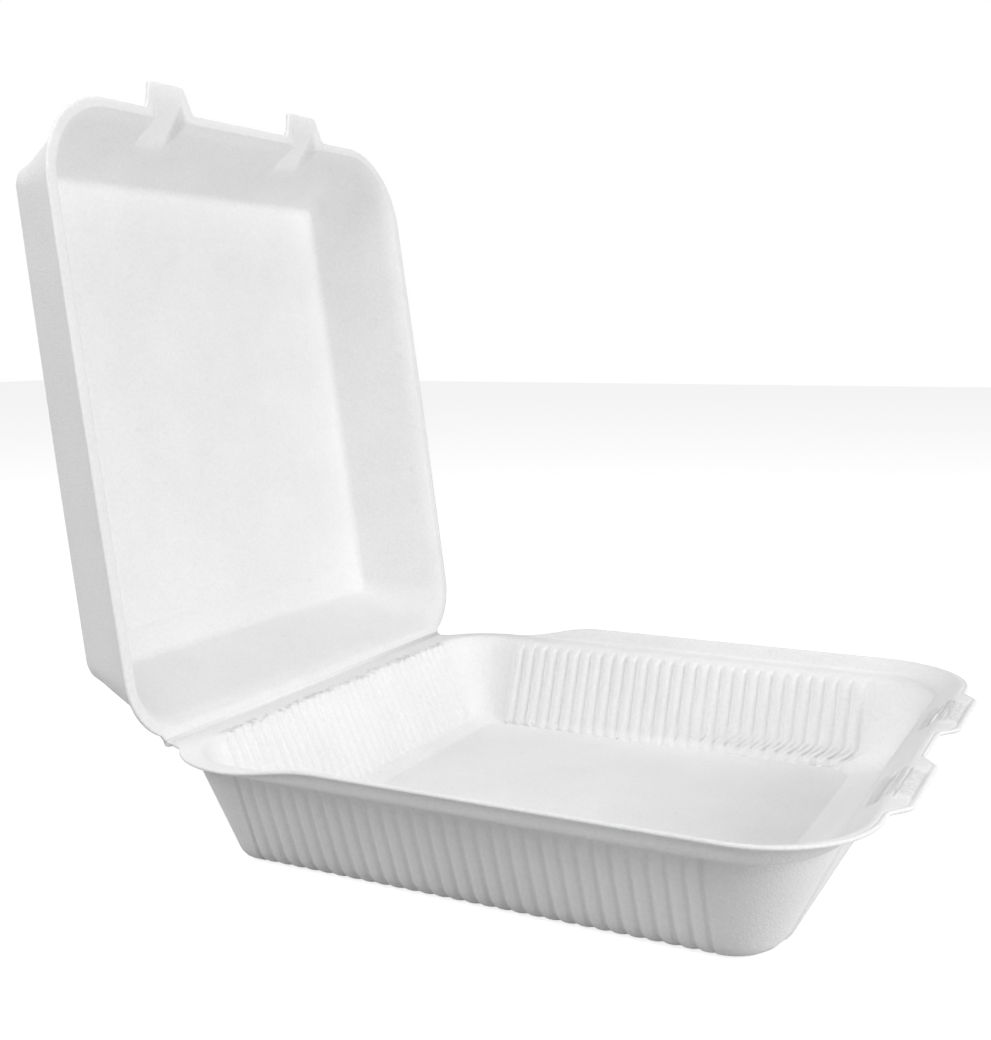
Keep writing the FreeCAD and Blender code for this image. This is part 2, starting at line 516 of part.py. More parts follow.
def side_channels(piece):
    """Channels inside the side walls, behind the ribs."""
    for side in SIDES:
        sign = "-" if side < 0 else ""
        name = "Left" if side < 0 else "Right"
        channel = piece.sketch(f"{name}Channel", "level", None, None, "sheet")
        curve = "-flute_arc" if side > 0 else "flute_arc"
        piece.polygon(channel, [
            (f"{sign}within_half", "first_low"), (f"{sign}within_half", "first_high"),
            (f"{sign}inner_half", "first_high"), (f"{sign}inner_half", "first_low")],
            {2: curve})
        cut = piece.slanted(f"{name}ChannelCut", channel, (f"{sign}wall_run", None), "side_height")
        piece.repeat(f"{name}Channels", cut, "y", "flute_run", "flute_count", True)


def rear_flutes(piece):
    """Rounded ribs outside and channels inside the wall below the crease."""
    groove = piece.sketch("RearGroove", "level")
    piece.polygon(groove, [
        ("rear_first", "groove_rear"), ("rear_low", "foot_rear"), ("rear_low", "beyond_rear"),
        ("rear_high", "beyond_rear"), ("rear_high", "foot_rear")], {0: "rear_arc", 4: "rear_arc"})
    cut = piece.slanted("RearGrooveCut", groove, (None, "wall_run"), "shoulder_height")
    piece.repeat("RearRibs", cut, "x", "rear_run", "rear_count", True)


def rear_channels(piece):
    """Channels inside the wall below the crease."""
    channel = piece.sketch("RearChannel", "level", None, None, "band_level")
    piece.polygon(channel, [
        ("rear_low", "band_inner"), ("rear_high", "band_inner"), ("rear_high", "band_rear"),
        ("rear_low", "band_rear")], {2: "rear_arc"})
    cut = piece.slanted("RearChannelCut", channel, (None, "wall_run"), "band_height")
    piece.repeat("RearChannels", cut, "x", "rear_run", "rear_count", True)


def ears(piece):
    """Two flat ears on the front rim, each with a raised patch and a slot behind it."""
    for side in SIDES:
        name = "Left" if side < 0 else "Right"
        offset = "-latch_offset" if side < 0 else "latch_offset"
        flat = piece.sketch(f"{name}Ear", "level", offset, None, "edge_level")
        piece.polygon(flat, [
            ("-ear_root_half", "-rim_reach"), ("-ear_tip_half", "-ear_end"),
            ("ear_tip_half", "-ear_end"), ("ear_root_half", "-rim_reach"),
            ("ear_root_half", "-ear_inside"), ("-ear_root_half", "-ear_inside")])
        piece.feature("Pad", f"{name}EarPlate", flat, Length="rim_sheet")
        piece.rounding(f"{name}EarRound", "ear_corner", fresh_upright(piece, "ear_end", side))
        patch = piece.sketch(f"{name}Patch", "level", offset, "-bump_middle", "rim_height")
        piece.rounded(patch, "bump_half", "bump_reach", "bump_span", "bump_corner", "bump_corner")
        piece.feature("Pad", f"{name}EarPatch", patch, Length="bump_height", TaperAngle=-45.0)


def fresh_upright(piece, reach, side):
    """The upright edges at a named distance in front of the middle, on one side."""
    choose = upright_edge(piece.value(reach))
    return lambda edge: choose(edge) and edge.Vertexes[0].X * side > 0


def slots(piece):
    """A slot through the front riser below each ear."""
    for side in SIDES:
        name = "Left" if side < 0 else "Right"
        offset = "-latch_offset" if side < 0 else "latch_offset"
        before = piece.volume()
        mouth = piece.sketch(f"{name}Slot", "front", offset, "slot_middle", "mouth_front")
        piece.rounded(mouth, "slot_half", "slot_reach", "slot_height", "slot_corner", "slot_corner")
        piece.feature("Pocket", f"{name}SlotCut", mouth, Length="slot_depth", Reversed=True)
        piece.compare(f"{name}SlotCut", before)


def lip_rise(piece):
    """Take the lip down in an arc towards the crease, where the lid's corners swing."""
    before = piece.volume()
    view = piece.sketch("LipRise", "side")
    piece.polygon(view, [
        ("past_rear", "ledge_level"), ("past_rear", "past_top"), ("rise_top", "past_top"),
        ("rise_top", "rim_height"), ("rise_foot", "ledge_level")], {3: "-lip_arc"})
    piece.feature("Pocket", "LipRiseCut", view, Type=1, Midplane=True)
    piece.compare("LipRiseCut", before)


def base_tray(document, driving, worked):
    """The lower half of the container."""
    piece = Piece(document, "base_tray", driving, worked)
    tray_form(piece)
    tray_hollow(piece)
    ears(piece)
    slots(piece)
    lip_rise(piece)
    side_flutes(piece)
    rear_flutes(piece)
    side_channels(piece)
    rear_channels(piece)
    return piece


def lid_plate(piece):
    """The flat flange, with two tongues at its front edge."""
    flange = piece.outline("Flange", None, "lid_half", "lid_length", "lid_depth_plan",
                           "lid_front_corner", "lid_rear_corner")
    piece.feature("Pad", "FlangePlate", flange, Length="rim_sheet")
    for side in SIDES:
        name = "Left" if side < 0 else "Right"
        offset = "-latch_offset" if side < 0 else "latch_offset"
        tongue = piece.sketch(f"{name}Tongue", "level", offset)
        piece.polygon(tongue, [
            ("-root_half", "-lid_length"), ("-tip_half", "-tongue_end"), ("tip_half", "-tongue_end"),
            ("root_half", "-lid_length"), ("root_half", "-tongue_inside"),
            ("-root_half", "-tongue_inside")])
        piece.feature("Pad", f"{name}TonguePlate", tongue, Length="rim_sheet")
        piece.rounding(f"{name}TongueRound", "tongue_corner", fresh_upright(piece, "tongue_end", side))


def lid_dome(piece):
    """The outside of the lid, with a ridge over each tongue."""
    base = piece.outline("DomeBase", None, "dome_half", "dome_front", "dome_depth",
                         "dome_corner", "dome_corner")
    piece.feature("Pad", "Dome", base, Length="dome_height", TaperAngle="-lid_draft")
    piece.rounding("CrownRound", "crown_round", level_edge(piece.value("dome_height")))
    for side in SIDES:
        name = "Left" if side < 0 else "Right"
        offset = "-latch_offset" if side < 0 else "latch_offset"
        ridge = piece.sketch(f"{name}Ridge", "side", None, None, offset)
        piece.polygon(ridge, [
            ("-ridge_end", "ground"), ("-ridge_lip", "ridge_deep"), ("-channel_root", "ridge_high"),
            ("-channel_back", "ridge_high"), ("-channel_back", "ground")])
        piece.feature("Pad", f"{name}RidgePad", ridge, Length="ridge_width", Midplane=True)


def lid_hollow(piece):
    """The inside of the lid: walls, top panel, its pressed line and the tongues' channels."""
    before = piece.volume()
    mouth = piece.outline("LidMouth", None, "hollow_half", "hollow_front", "hollow_depth",
                          "hollow_corner", "hollow_corner")
    piece.feature("Pocket", "LidHollow", mouth, Length="lid_depth", TaperAngle="-lid_draft",
                  Reversed=True)
    piece.compare("LidHollow", before)
    piece.rounding("LidTopRound", "lid_top_round", level_edge(piece.value("lid_depth")))
    for side in SIDES:
        name = "Left" if side < 0 else "Right"
        offset = "-latch_offset" if side < 0 else "latch_offset"
        before = piece.volume()
        channel = piece.sketch(f"{name}Channel", "side", None, None, offset)
        piece.polygon(channel, [
            ("-channel_end", "ground"), ("-channel_lip", "channel_deep"),
            ("-channel_root", "channel_high"), ("-channel_back", "channel_high"),
            ("-channel_back", "ground")])
        piece.feature("Pocket", f"{name}ChannelCut", channel, Length="channel_width", Midplane=True)
        piece.compare(f"{name}ChannelCut", before)
    before = piece.volume()
    line = piece.outline("PanelLine", "lid_depth", "line_half", "line_front", "panel_length",
                         "panel_corner", "panel_corner")
    piece.rounded(line, "line_inner_half", "line_inner_front", "line_inner_depth",
                  "line_inner_corner", "line_inner_corner")
    piece.feature("Pocket", "PanelLineCut", line, Length="panel_depth", Reversed=True)
    piece.compare("PanelLineCut", before)


def lid(document, driving, worked):
    """The upper half, drawn closed about the crease and then opened as in the photograph."""
    piece = Piece(document, "lid", driving, worked)
    lid_plate(piece)
    lid_dome(piece)
    lid_hollow(piece)
    body = piece.body
    body.setExpression("Placement.Base.y", piece.path("rim_reach"))
    body.setExpression("Placement.Base.z", piece.path("crease_height"))
    body.Placement.Rotation = FreeCAD.Rotation(FreeCAD.Vector(-1, 0, 0), piece.value("lid_angle"))
    body.setExpression("Placement.Rotation.Angle", piece.path("lid_angle"))
    document.recompute()
    return piece


def main():
    """Build both halves, check every object and write one file for each half."""
    os.makedirs("parts", exist_ok=True)
    document = FreeCAD.newDocument("clamshell_container")
    driving = make_sheet(document, "Sizes", DRIVING_SIZES)
    worked = make_sheet(document, "Worked", DERIVED_SIZES)
    pieces = [base_tray(document, driving, worked), lid(document, driving, worked)]
    document.recompute()
    failed = [item.Name for item in document.Objects if {"Invalid", "Error"} & set(item.State)]
    if failed:
        raise RuntimeError(f"failed objects: {failed}")
    for piece in pieces:
        shape = piece.body.Shape
        if shape.isNull() or not shape.isValid() or len(shape.Solids) != 1:
            raise RuntimeError(f"{piece.body.Label} is not one valid solid")
        print(piece.body.Label, round(shape.Volume), shape.BoundBox)
    for piece in pieces:
        piece.body.Shape.exportStep(f"parts/{piece.body.Label}.step")


main()
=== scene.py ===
import logging
import math
from dataclasses import dataclass
from enum import Enum

import bmesh
import bpy
from mathutils import Matrix, Vector


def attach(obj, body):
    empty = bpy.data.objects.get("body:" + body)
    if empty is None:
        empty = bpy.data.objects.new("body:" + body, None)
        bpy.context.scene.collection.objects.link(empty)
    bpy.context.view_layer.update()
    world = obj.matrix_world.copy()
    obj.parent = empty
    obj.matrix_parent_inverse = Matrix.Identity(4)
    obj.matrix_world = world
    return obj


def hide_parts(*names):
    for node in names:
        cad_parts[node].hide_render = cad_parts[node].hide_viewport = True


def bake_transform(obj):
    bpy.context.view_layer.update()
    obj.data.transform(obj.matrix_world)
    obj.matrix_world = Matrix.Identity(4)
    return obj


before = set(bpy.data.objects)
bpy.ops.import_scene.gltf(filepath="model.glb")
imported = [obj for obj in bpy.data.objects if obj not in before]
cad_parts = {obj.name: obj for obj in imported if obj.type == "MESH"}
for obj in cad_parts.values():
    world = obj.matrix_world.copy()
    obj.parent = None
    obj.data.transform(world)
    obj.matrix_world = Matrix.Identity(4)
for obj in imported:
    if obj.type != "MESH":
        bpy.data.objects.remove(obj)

log = logging.getLogger("foam_container")
MM = 0.001
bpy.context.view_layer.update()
Pair = tuple[float, float]
Triple = tuple[float, float, float]
Colour = tuple[float, float, float, float]


def blend(low: float, high: float, share: float) -> float:
    """Value that lies a share of the way from low to high."""
    return low + (high - low) * share


def ease(value: float) -> float:
    """Smooth rise from 0 to 1 as value goes from 0 to 1."""
    held = min(1.0, max(0.0, value))
    return held * held * (3.0 - 2.0 * held)


def plateau(distance: float, half: float, slope: float) -> float:
    """Mask of a flat field: 1 inside half, then a smooth fall over a slope.

    Args:
        distance: distance from the middle of the field, either way.
        half: half width at the middle of the slope.
        slope: width of the slope.

    Returns:
        A number from 0 to 1.
    """
    return ease((half + slope / 2 - abs(distance)) / slope)


def softened(share: float, corner: float) -> float:
    """A ramp from 0 to 1 whose two corners are rounded over a share of its length."""
    if share <= -corner or share >= 1.0 + corner:
        return 0.0 if share < 0.5 else 1.0
    if share < corner:
        return (share + corner) ** 2 / (4.0 * corner)
    if share > 1.0 - corner:
        return 1.0 - (1.0 + corner - share) ** 2 / (4.0 * corner)
    return share


def placed(mesh: bmesh.types.BMesh, name: str) -> bpy.types.Object:
    """Turn a finished mesh into an object of the scene.

    Args:
        mesh: the mesh, which is used up.
        name: name of the object.

    Returns:
        The object, at the origin.
    """
    data = bpy.data.meshes.new(name)
    mesh.to_mesh(data)
    mesh.free()
    thing = bpy.data.objects.new(name, data)
    bpy.context.scene.collection.objects.link(thing)
    return thing


class Place(Enum):
    """Stretch of an outline, in the order in which it is walked."""

    FRONT = 0
    FRONT_RIGHT = 1
    RIGHT = 2
    REAR_RIGHT = 3
    REAR = 4
    REAR_LEFT = 5
    LEFT = 6
    FRONT_LEFT = 7


@dataclass(frozen=True)
class Stop:
    """One place on every outline of a shell.

    Attributes:
        place: stretch of the outline.
        along: share of that stretch that lies behind the stop.
    """

    place: Place
    along: float


@dataclass(frozen=True)
class Ring:
    """A closed outline with rounded corners, in millimetres.

    Attributes:
        half: half width.
        front: distance from the middle to the front side.
        rear: distance from the middle to the rear side.
        side_level: height of the two sides.
        front_level: height of the front side.
        rear_level: height of the rear side.
        front_round: radii of the front corners, across and along.
        rear_round: radii of the rear corners, across and along.
    """

    half: float
    front: float
    rear: float
    side_level: float
    front_level: float
    rear_level: float
    front_round: Pair
    rear_round: Pair

    def point(self, stop: Stop) -> Vector:
        """Where a stop lies on this outline.

        Args:
            stop: the place to look up.

        Returns:
            The point in millimetres.
        """
        along = stop.along
        mirror = 1.0
        place = stop.place
        if place in (Place.REAR_LEFT, Place.LEFT, Place.FRONT_LEFT):
            mirror = -1.0
            along = 1.0 - along
            place = Place(len(Place) - place.value)
        front_x = self.half - self.front_round[0]
        front_y = self.front_round[1] - self.front
        rear_x = self.half - self.rear_round[0]
        rear_y = self.rear - self.rear_round[1]
        turn = along * math.pi / 2
        if place is Place.FRONT:
            return Vector((blend(-front_x, front_x, along), -self.front, self.front_level))
        if place is Place.REAR:
            return Vector((blend(rear_x, -rear_x, along), self.rear, self.rear_level))
        if place is Place.RIGHT:
            return Vector((mirror * self.half, blend(front_y, rear_y, along), self.side_level))
        if place is Place.FRONT_RIGHT:
            return Vector((mirror * (front_x + self.front_round[0] * math.sin(turn)),
                           front_y - self.front_round[1] * math.cos(turn),
                           blend(self.front_level, self.side_level, ease(along))))
        return Vector((mirror * (rear_x + self.rear_round[0] * math.cos(turn)),
                       rear_y + self.rear_round[1] * math.sin(turn),
                       blend(self.side_level, self.rear_level, ease(along))))


@dataclass(frozen=True)
class Pace:
    """How many stops each stretch of a shell's outlines has."""

    front: int
    side: int
    rear: int
    corner: int

    def stops(self) -> list[Stop]:
        """All stops, once round the outline."""
        counts = {Place.FRONT: self.front, Place.REAR: self.rear,
                  Place.RIGHT: self.side, Place.LEFT: self.side}
        return [Stop(place, step / counts.get(place, self.corner))
                for place in Place for step in range(counts.get(place, self.corner))]


class Shell:
    """A closed foam wall, drawn out ring by ring from one flat end to the other."""

    def __init__(self, stops: list[Stop]) -> None:
        """Start with a small flat disc.

        Args:
            stops: the places that every ring has.
        """
        self.stops = stops
        self.mesh = bmesh.new()
        bmesh.ops.create_circle(self.mesh, cap_ends=True, segments=len(stops), radius=1.0)
        self.mesh.faces.ensure_lookup_table()
        self.rings = [self.walk(list(self.mesh.faces[0].verts))]
        self.edges = list(self.mesh.edges)

    def walk(self, corners: list) -> list:
        """The disc's corners, turned so that they run counterclockwise from above."""
        angles = [math.atan2(v.co.y, v.co.x) for v in corners]
        ahead = (angles[1] - angles[0] + math.pi) % (2 * math.pi) - math.pi
        return corners if ahead > 0 else corners[::-1]

    def settle(self, points: list[Vector]) -> None:
        """Put the newest ring in its place."""
        for corner, point in zip(self.rings[-1], points):
            corner.co = point

    def grow(self, points: list[Vector]) -> None:
        """Extrude the newest ring and put the new one in its place.

        Args:
            points: a point for each stop.
        """
        old = self.rings[-1]
        place_of = {corner: place for place, corner in enumerate(old)}
        made = bmesh.ops.extrude_edge_only(self.mesh, edges=self.edges)["geom"]
        self.edges = [item for item in made if isinstance(item, bmesh.types.BMEdge)
                      and not any(v in place_of for v in item.verts)]
        fresh = [None] * len(old)
        for item in made:
            if isinstance(item, bmesh.types.BMVert) and item not in place_of:
                for edge in item.link_edges:
                    other = edge.other_vert(item)
                    if other in place_of:
                        fresh[place_of[other]] = item
        self.rings.append(fresh)
        self.settle(points)

    def close(self) -> None:
        """Close the newest ring with a flat face and point all faces outwards."""
        bmesh.ops.contextual_create(self.mesh, geom=self.edges)
        bmesh.ops.recalc_face_normals(self.mesh, faces=self.mesh.faces)

    def pierce(self, near: tuple[int, int], far: tuple[int, int], first: int, last: int) -> None:
        """Cut a hole through the wall and line it.

        Args:
            near: ring numbers below and above the hole on one face of the wall.
            far: the same on the other face.
            first: stop at one end of the hole.
            last: stop at its other end.
        """
        rims = []
        for low, high in (near, far):
            field = set(self.rings[low][first:last + 1]) | set(self.rings[high][first:last + 1])
            faces = [face for face in self.rings[low][first].link_faces if set(face.verts) <= field]
            for corner in self.rings[low][first + 1:last]:
                faces += [face for face in corner.link_faces
                          if set(face.verts) <= field and face not in faces]
            bounds = [edge for face in faces for edge in face.edges
                      if sum(other in faces for other in edge.link_faces) == 1]
            bmesh.ops.delete(self.mesh, geom=faces, context="FACES_ONLY")
            rims += bounds
        bmesh.ops.bridge_loops(self.mesh, edges=rims)

    def finish(self, name: str, place: Matrix) -> bpy.types.Object:
        """Turn the wall into a smooth object in metres.

        Args:
            name: name of the piece.
            place: moves the wall from its own frame to the object's frame, in millimetres.

        Returns:
            The new object.
        """
        bmesh.ops.transform(self.mesh, matrix=Matrix.Scale(MM, 4) @ place, verts=self.mesh.verts)
        bmesh.ops.recalc_face_normals(self.mesh, faces=self.mesh.faces)
        for face in self.mesh.faces:
            face.smooth = True
        return placed(self.mesh, name)


def scaled(ring: Ring, share: float) -> Ring:
    """A smaller outline with the same levels, for a flat floor."""
    return Ring(ring.half * share, ring.front * share, ring.rear * share, ring.side_level,
                ring.front_level, ring.rear_level,
                (ring.front_round[0] * share, ring.front_round[1] * share),
                (ring.rear_round[0] * share, ring.rear_round[1] * share))


@dataclass(frozen=True)
class Band:
    """One ring of the tray with what is pressed into it.

    Attributes:
        high: the outline where the lip is at full height.
        low: the outline beside the crease, or None where both are the same.
        side_ribs: height of the side ribs, outward if positive.
        rear_ribs: height of the ribs below the crease, outward if positive.
        ear: share of an ear's reach that the front of the ring takes.
        panel: share of the raised field of the front wall.
        slot: -1 below the latch slots, 1 above them, 0 elsewhere.
        patch: share of the raised patches behind the ears.
        sunk: share of the sunk fields on the ears.
        crease: 1 where the ring reaches the crease with straight ends.
    """

    high: Ring
    low: Ring | None = None
    side_ribs: float = 0.0
    rear_ribs: float = 0.0
    ear: float = 0.0
    panel: float = 0.0
    slot: int = 0
    patch: float = 0.0
    sunk: float = 0.0
    crease: float = 0.0


@dataclass(frozen=True)
class TrayBuilder:
    """The lower half: fluted walls, ledge, raised lip, slots and ears. Sizes in millimetres."""

    floor_level: float = 2.5
    side_lean: float = 20.5
    end_lean: float = 25.5
    inner_half: float = 90.45
    inner_front: float = 90.6
    inner_rear: float = 94.6
    outer_half: float = 92.5
    outer_front: float = 92.0
    outer_rear: float = 95.9
    ledge: float = 39.1
    crease: float = 39.4
    crease_reach: float = 121.65
    crease_half: float = 96.3
    lip_top: float = 45.0
    rib_depth: float = 1.5
    groove_depth: float = 1.15
    side_pitch: float = 5.59
    side_first: float = 81.4
    outer_shift: float = 1.4
    side_count: int = 29
    rear_pitch: float = 4.95
    rear_count: int = 33
    rib_samples: int = 10
    wall_corner_x: float = 79.0
    wall_corner_front: float = 79.5
    wall_corner_rear: float = 89.78
    wall_rear_x: float = 82.0
    rise_foot: float = 87.95
    rise_run: float = 41.0
    latch_offset: float = 43.0
    ear_length: float = 5.6
    ear_tip: float = 21.0
    ear_root: float = 28.5
    slot_half: float = 16.5
    slot_height: float = 2.7
    slot_run: float = 3.9
    panel_half: float = 75.0
    panel_height: float = 1.0
    rim_corner_x: float = 78.0
    rim_corner_front: float = 83.6
    rim_corner_rear: float = 87.65
    low_edge: float = 112.1
    foot_round: float = 8.5
    outer_corner: float = 2.5
    ear_round: float = 0.22
    slot_rest: float = 0.12
    slot_flare: float = 4.0
    sunk_depth: float = 0.35
    sunk_half: float = 14.0
    sunk_slope: float = 3.0
    patch_height: float = 0.8
    patch_half: float = 15.0
    patch_slope: float = 6.0
    panel_slope: float = 2.0

    def pace(self) -> Pace:
        """Stops that follow the ribs on the sides and below the crease."""
        side = round((self.wall_corner_front + self.wall_corner_rear) * self.rib_samples
                     / self.side_pitch)
        rear = round(2 * self.wall_rear_x * self.rib_samples / self.rear_pitch)
        return Pace(front=176, side=side, rear=rear, corner=18)

    def wall_ring(self, half: float, front: float, rear: float, level: float,
                  rounder: float = 0.0) -> Ring:
        """An outline of the sloping walls, whose corners share fixed middles.

        Args:
            half: half width.
            front: distance from the middle to the front side.
            rear: distance from the middle to the rear side.
            level: height of the outline.
            rounder: added to the radii of the front corners.

        Returns:
            The outline.
        """
        return Ring(half, front, rear, level, level, level,
                    (half - self.wall_corner_x + rounder, front - self.wall_corner_front + rounder),
                    (half - self.wall_rear_x, rear - self.wall_corner_rear))

    def runs(self, rise: float) -> Pair:
        """How far the sides and the two ends lean outwards over a rise."""
        return (rise * math.tan(math.radians(self.side_lean)),
                rise * math.tan(math.radians(self.end_lean)))

    def inner_wall(self, level: float) -> Ring:
        """The inner face of the walls at a level."""
        side, end = self.runs(level - self.floor_level)
        return self.wall_ring(self.inner_half + side, self.inner_front + end,
                              self.inner_rear + end, level)

    def outer_ring(self, side: float, end: float, level: float) -> Ring:
        """An outline of the outer face, moved out from the foot of the walls."""
        return self.wall_ring(self.outer_half + side, self.outer_front + end,
                              self.outer_rear + end, level, self.outer_corner)

    def foot_ring(self, turn: float) -> Ring:
        """The rounding under the walls.

        Args:
            turn: angle below the level, from the wall's own slope to 90 degrees.

        Returns:
            The outline at that angle.
        """
        reach = self.foot_round * math.cos(math.radians(turn))
        side = reach - self.foot_round * math.tan(math.radians((90.0 - self.side_lean) / 2))
        end = reach - self.foot_round * math.tan(math.radians((90.0 - self.end_lean) / 2))
        level = self.foot_round * (1.0 - math.sin(math.radians(turn)))
        return self.outer_ring(side, end, level)

    def floor_bands(self) -> list[Band]:
        """The flat floor and the soft steps at its edge."""
        level = self.floor_level
        flat = Ring(87.6, 75.2, 88.2, level, level, level, (8.0, 8.0), (6.0, 6.0))
        steps = (
            (flat, 0.0, 0.0),
            (Ring(88.7, 76.1, 89.1, 2.6, 2.1, 2.3, (8.6, 8.2), (6.6, 5.0)), 0.3, 0.0),
            (Ring(89.4, 77.0, 89.9, 2.9, 2.55, 2.95, (9.4, 8.6), (7.4, 4.6)), 0.8, 0.0),
            (Ring(89.9, 79.6, 91.6, 3.5, 3.6, 3.7, (10.2, 9.4), (7.9, 4.2)), 1.0, 0.0),
            (Ring(self.half_at(4.6), 81.4, 93.8, 4.6, 4.5, 4.6, (11.5, 9.6), (9.0, 4.6)), 1.0, 0.0),
            (Ring(self.half_at(6.0), 82.3, 95.4, 6.0, 4.75, 5.5, (12.5, 9.2), (9.6, 5.9)), 1.0, 0.1),
            (Ring(self.half_at(8.0), 85.5, 96.3, 8.0, 5.9, 6.6, (13.4, 9.0), (10.3, 6.6)), 1.0, 0.6),
            (Ring(self.half_at(10.4), 90.6, 97.4, 10.4, 8.2, 9.0, (14.2, 11.4), (11.2, 7.6)), 1.0, 1.0),
        )
        middle = [Band(scaled(flat, share)) for share in (0.04, 0.3, 0.6, 0.85)]
        depth = -self.rib_depth
        return middle + [Band(ring, side_ribs=depth * side, rear_ribs=depth * rear)
                         for ring, side, rear in steps]

    def half_at(self, level: float) -> float:
        """Half width inside the walls at a level."""
        return self.inner_half + self.runs(level - self.floor_level)[0]

    def inner_bands(self) -> list[Band]:
        """The inner face of the walls, with its ribs."""
        rows = ((13.6, 1.0), (15.2, 1.0), (20.0, 1.0), (26.0, 1.0), (31.5, 1.0), (34.2, 1.0),
                (35.4, 0.9), (36.2, 0.6), (36.9, 0.1))
        return [Band(self.inner_wall(level), side_ribs=-self.rib_depth * side,
                     rear_ribs=-self.rib_depth) for level, side in rows]

    def ledge_bands(self) -> list[Band]:
        """The seat between the walls and the lip."""
        depth = -self.rib_depth
        rows = (
            (Ring(104.0, 107.5, 111.2, 37.7, 37.8, 37.9, (24.6, 26.6), (23.2, 21.4)), 1.0),
            (Ring(104.9, 107.9, 111.9, 38.6, 38.6, 39.0, (25.6, 26.2), (24.4, 22.4)), 0.75),
            (Ring(106.6, 108.3, 112.7, 39.05, 39.0, 39.35, (28.0, 25.6), (27.0, 24.2)), 0.2),
            (Ring(109.4, 108.8, 116.6, 39.1, 39.15, 39.4, (31.2, 25.4), (31.0, 28.6)), 0.0),
        )
        return [Band(ring, rear_ribs=depth * share) for ring, share in rows]

    def rim_bands(self) -> list[Band]:
        """Riser, lip and underside, from the inside out.

        Each row has the half width and level beside the full lip, the reach and level at the
        front, the half width and level near the crease, and what is pressed into the ring.
        """
        top = self.lip_top
        under = self.ledge - 1.25
        rows = (
            ((111.0, 39.12), (109.3, 39.25), (111.0, 39.1), {}),
            ((111.5, 39.35), (110.0, 39.6), (111.2, 39.1), {}),
            ((111.75, 40.3), (111.9, 40.9), (111.3, 39.1), {"slot": -1}),
            ((112.6, 43.3), (115.9, 43.65), (111.4, 39.1), {"slot": 1}),
            ((112.9, 44.2), (116.8, 44.3), (111.5, 39.1), {"patch": 0.2}),
            ((113.15, 44.7), (117.5, 44.7), (111.6, 39.1), {"ear": 0.03, "patch": 0.7}),
            ((113.5, top - 0.1), (118.1, top - 0.08), (111.7, 39.08), {"ear": 0.12, "patch": 1.0}),
            ((113.8, top), (118.6, top), (111.75, 39.05), {"ear": 0.3, "patch": 0.7}),
            ((114.0, top), (119.0, top), (111.8, 39.0), {"ear": 0.55, "patch": 0.3}),
            ((114.15, top), (119.3, top), (111.88, 38.97), {"ear": 0.78}),
            ((114.25, top), (119.5, top - 0.02), (111.92, 38.95), {"ear": 0.86, "sunk": 1.0}),
            ((114.3, top), (119.8, top - 0.28), (111.94, 38.94), {"ear": 0.9, "sunk": 0.6}),
            ((114.35, top - 0.02), (120.1, top - 0.02), (111.96, 38.93), {"ear": 0.94}),
            ((114.6, top - 0.1), (120.7, top - 0.08), (112.0, 38.9), {"ear": 0.98}),
            ((114.9, top - 0.4), (121.1, top - 0.35), (112.05, 38.7), {"ear": 1.0}),
            ((115.0, top - 0.8), (121.25, top - 0.8), (112.1, 38.45), {"ear": 1.0}),
            ((114.9, top - 1.2), (121.1, top - 1.2), (112.05, 38.2), {"ear": 1.0}),
            ((114.5, top - 1.45), (120.6, top - 1.45), (111.9, 38.0), {"ear": 1.0}),
            ((114.0, top - 1.6), (118.9, top - 1.7), (111.7, 37.95), {}),
            ((113.6, 42.6), (117.2, 42.5), (111.6, 37.92), {"slot": 1}),
            ((112.9, 40.3), (113.4, 39.8), (111.5, 37.9), {"slot": -1}),
            ((112.4, 38.9), (112.0, 38.8), (111.4, under), {}),
            ((111.8, 38.15), (111.1, 38.0), (111.0, under), {}),
            ((110.6, under), (110.9, under), (110.3, under), {}),
        )
        bands = []
        for high, front, low, press in rows:
            reach = self.crease_reach - (self.low_edge - low[0])
            level = low[1] + self.crease - self.ledge
            rings = [Ring(half, front[0], reach, height, front[1], level,
                          (half - self.rim_corner_x, front[0] - self.rim_corner_front),
                          (half - self.rim_corner_x, reach - self.rim_corner_rear))
                     for half, height in (high, low)]
            bands.append(Band(*rings, crease=1.0, **press))
        inner_edge = Ring(107.8, 110.5, 114.6, 37.6, 37.6, 37.8, (28.8, 29.0), (28.4, 25.6))
        return bands + [Band(inner_edge)]

    def outer_bands(self) -> list[Band]:
        """The outer face of the walls, with ribs and the raised field at the front."""
        rows = ((36.9, 0.0, 0.0), (36.1, 0.45, 0.4), (35.0, 0.9, 0.8), (33.4, 1.0, 1.0),
                (28.0, 0.9, 1.0), (21.0, 0.85, 1.0), (14.0, 0.85, 1.0), (8.0, 0.95, 1.0),
                (4.9, 1.1, 1.0))
        return [Band(self.outer_ring(*self.runs(level), level), side_ribs=self.groove_depth * ribs,
                     rear_ribs=self.groove_depth * ribs, panel=panel)
                for level, ribs, panel in rows]

    def foot_bands(self) -> list[Band]:
        """The rounding under the walls and the flat underside."""
        rows = ((34.0, 1.2), (50.0, 1.2), (66.0, 0.9), (80.0, 0.3), (90.0, 0.0))
        turned = [Band(self.foot_ring(turn), side_ribs=self.groove_depth * ribs,
                       rear_ribs=self.groove_depth * ribs, panel=min(1.0, ribs))
                  for turn, ribs in rows]
        flat = self.foot_ring(90.0)
        return turned + [Band(scaled(flat, share)) for share in (0.93, 0.6, 0.3, 0.04)]

    def lift(self, along: float) -> float:
        """Share of the lip's height at a distance from the middle towards the crease."""
        return ease((self.rise_foot - along) / self.rise_run)

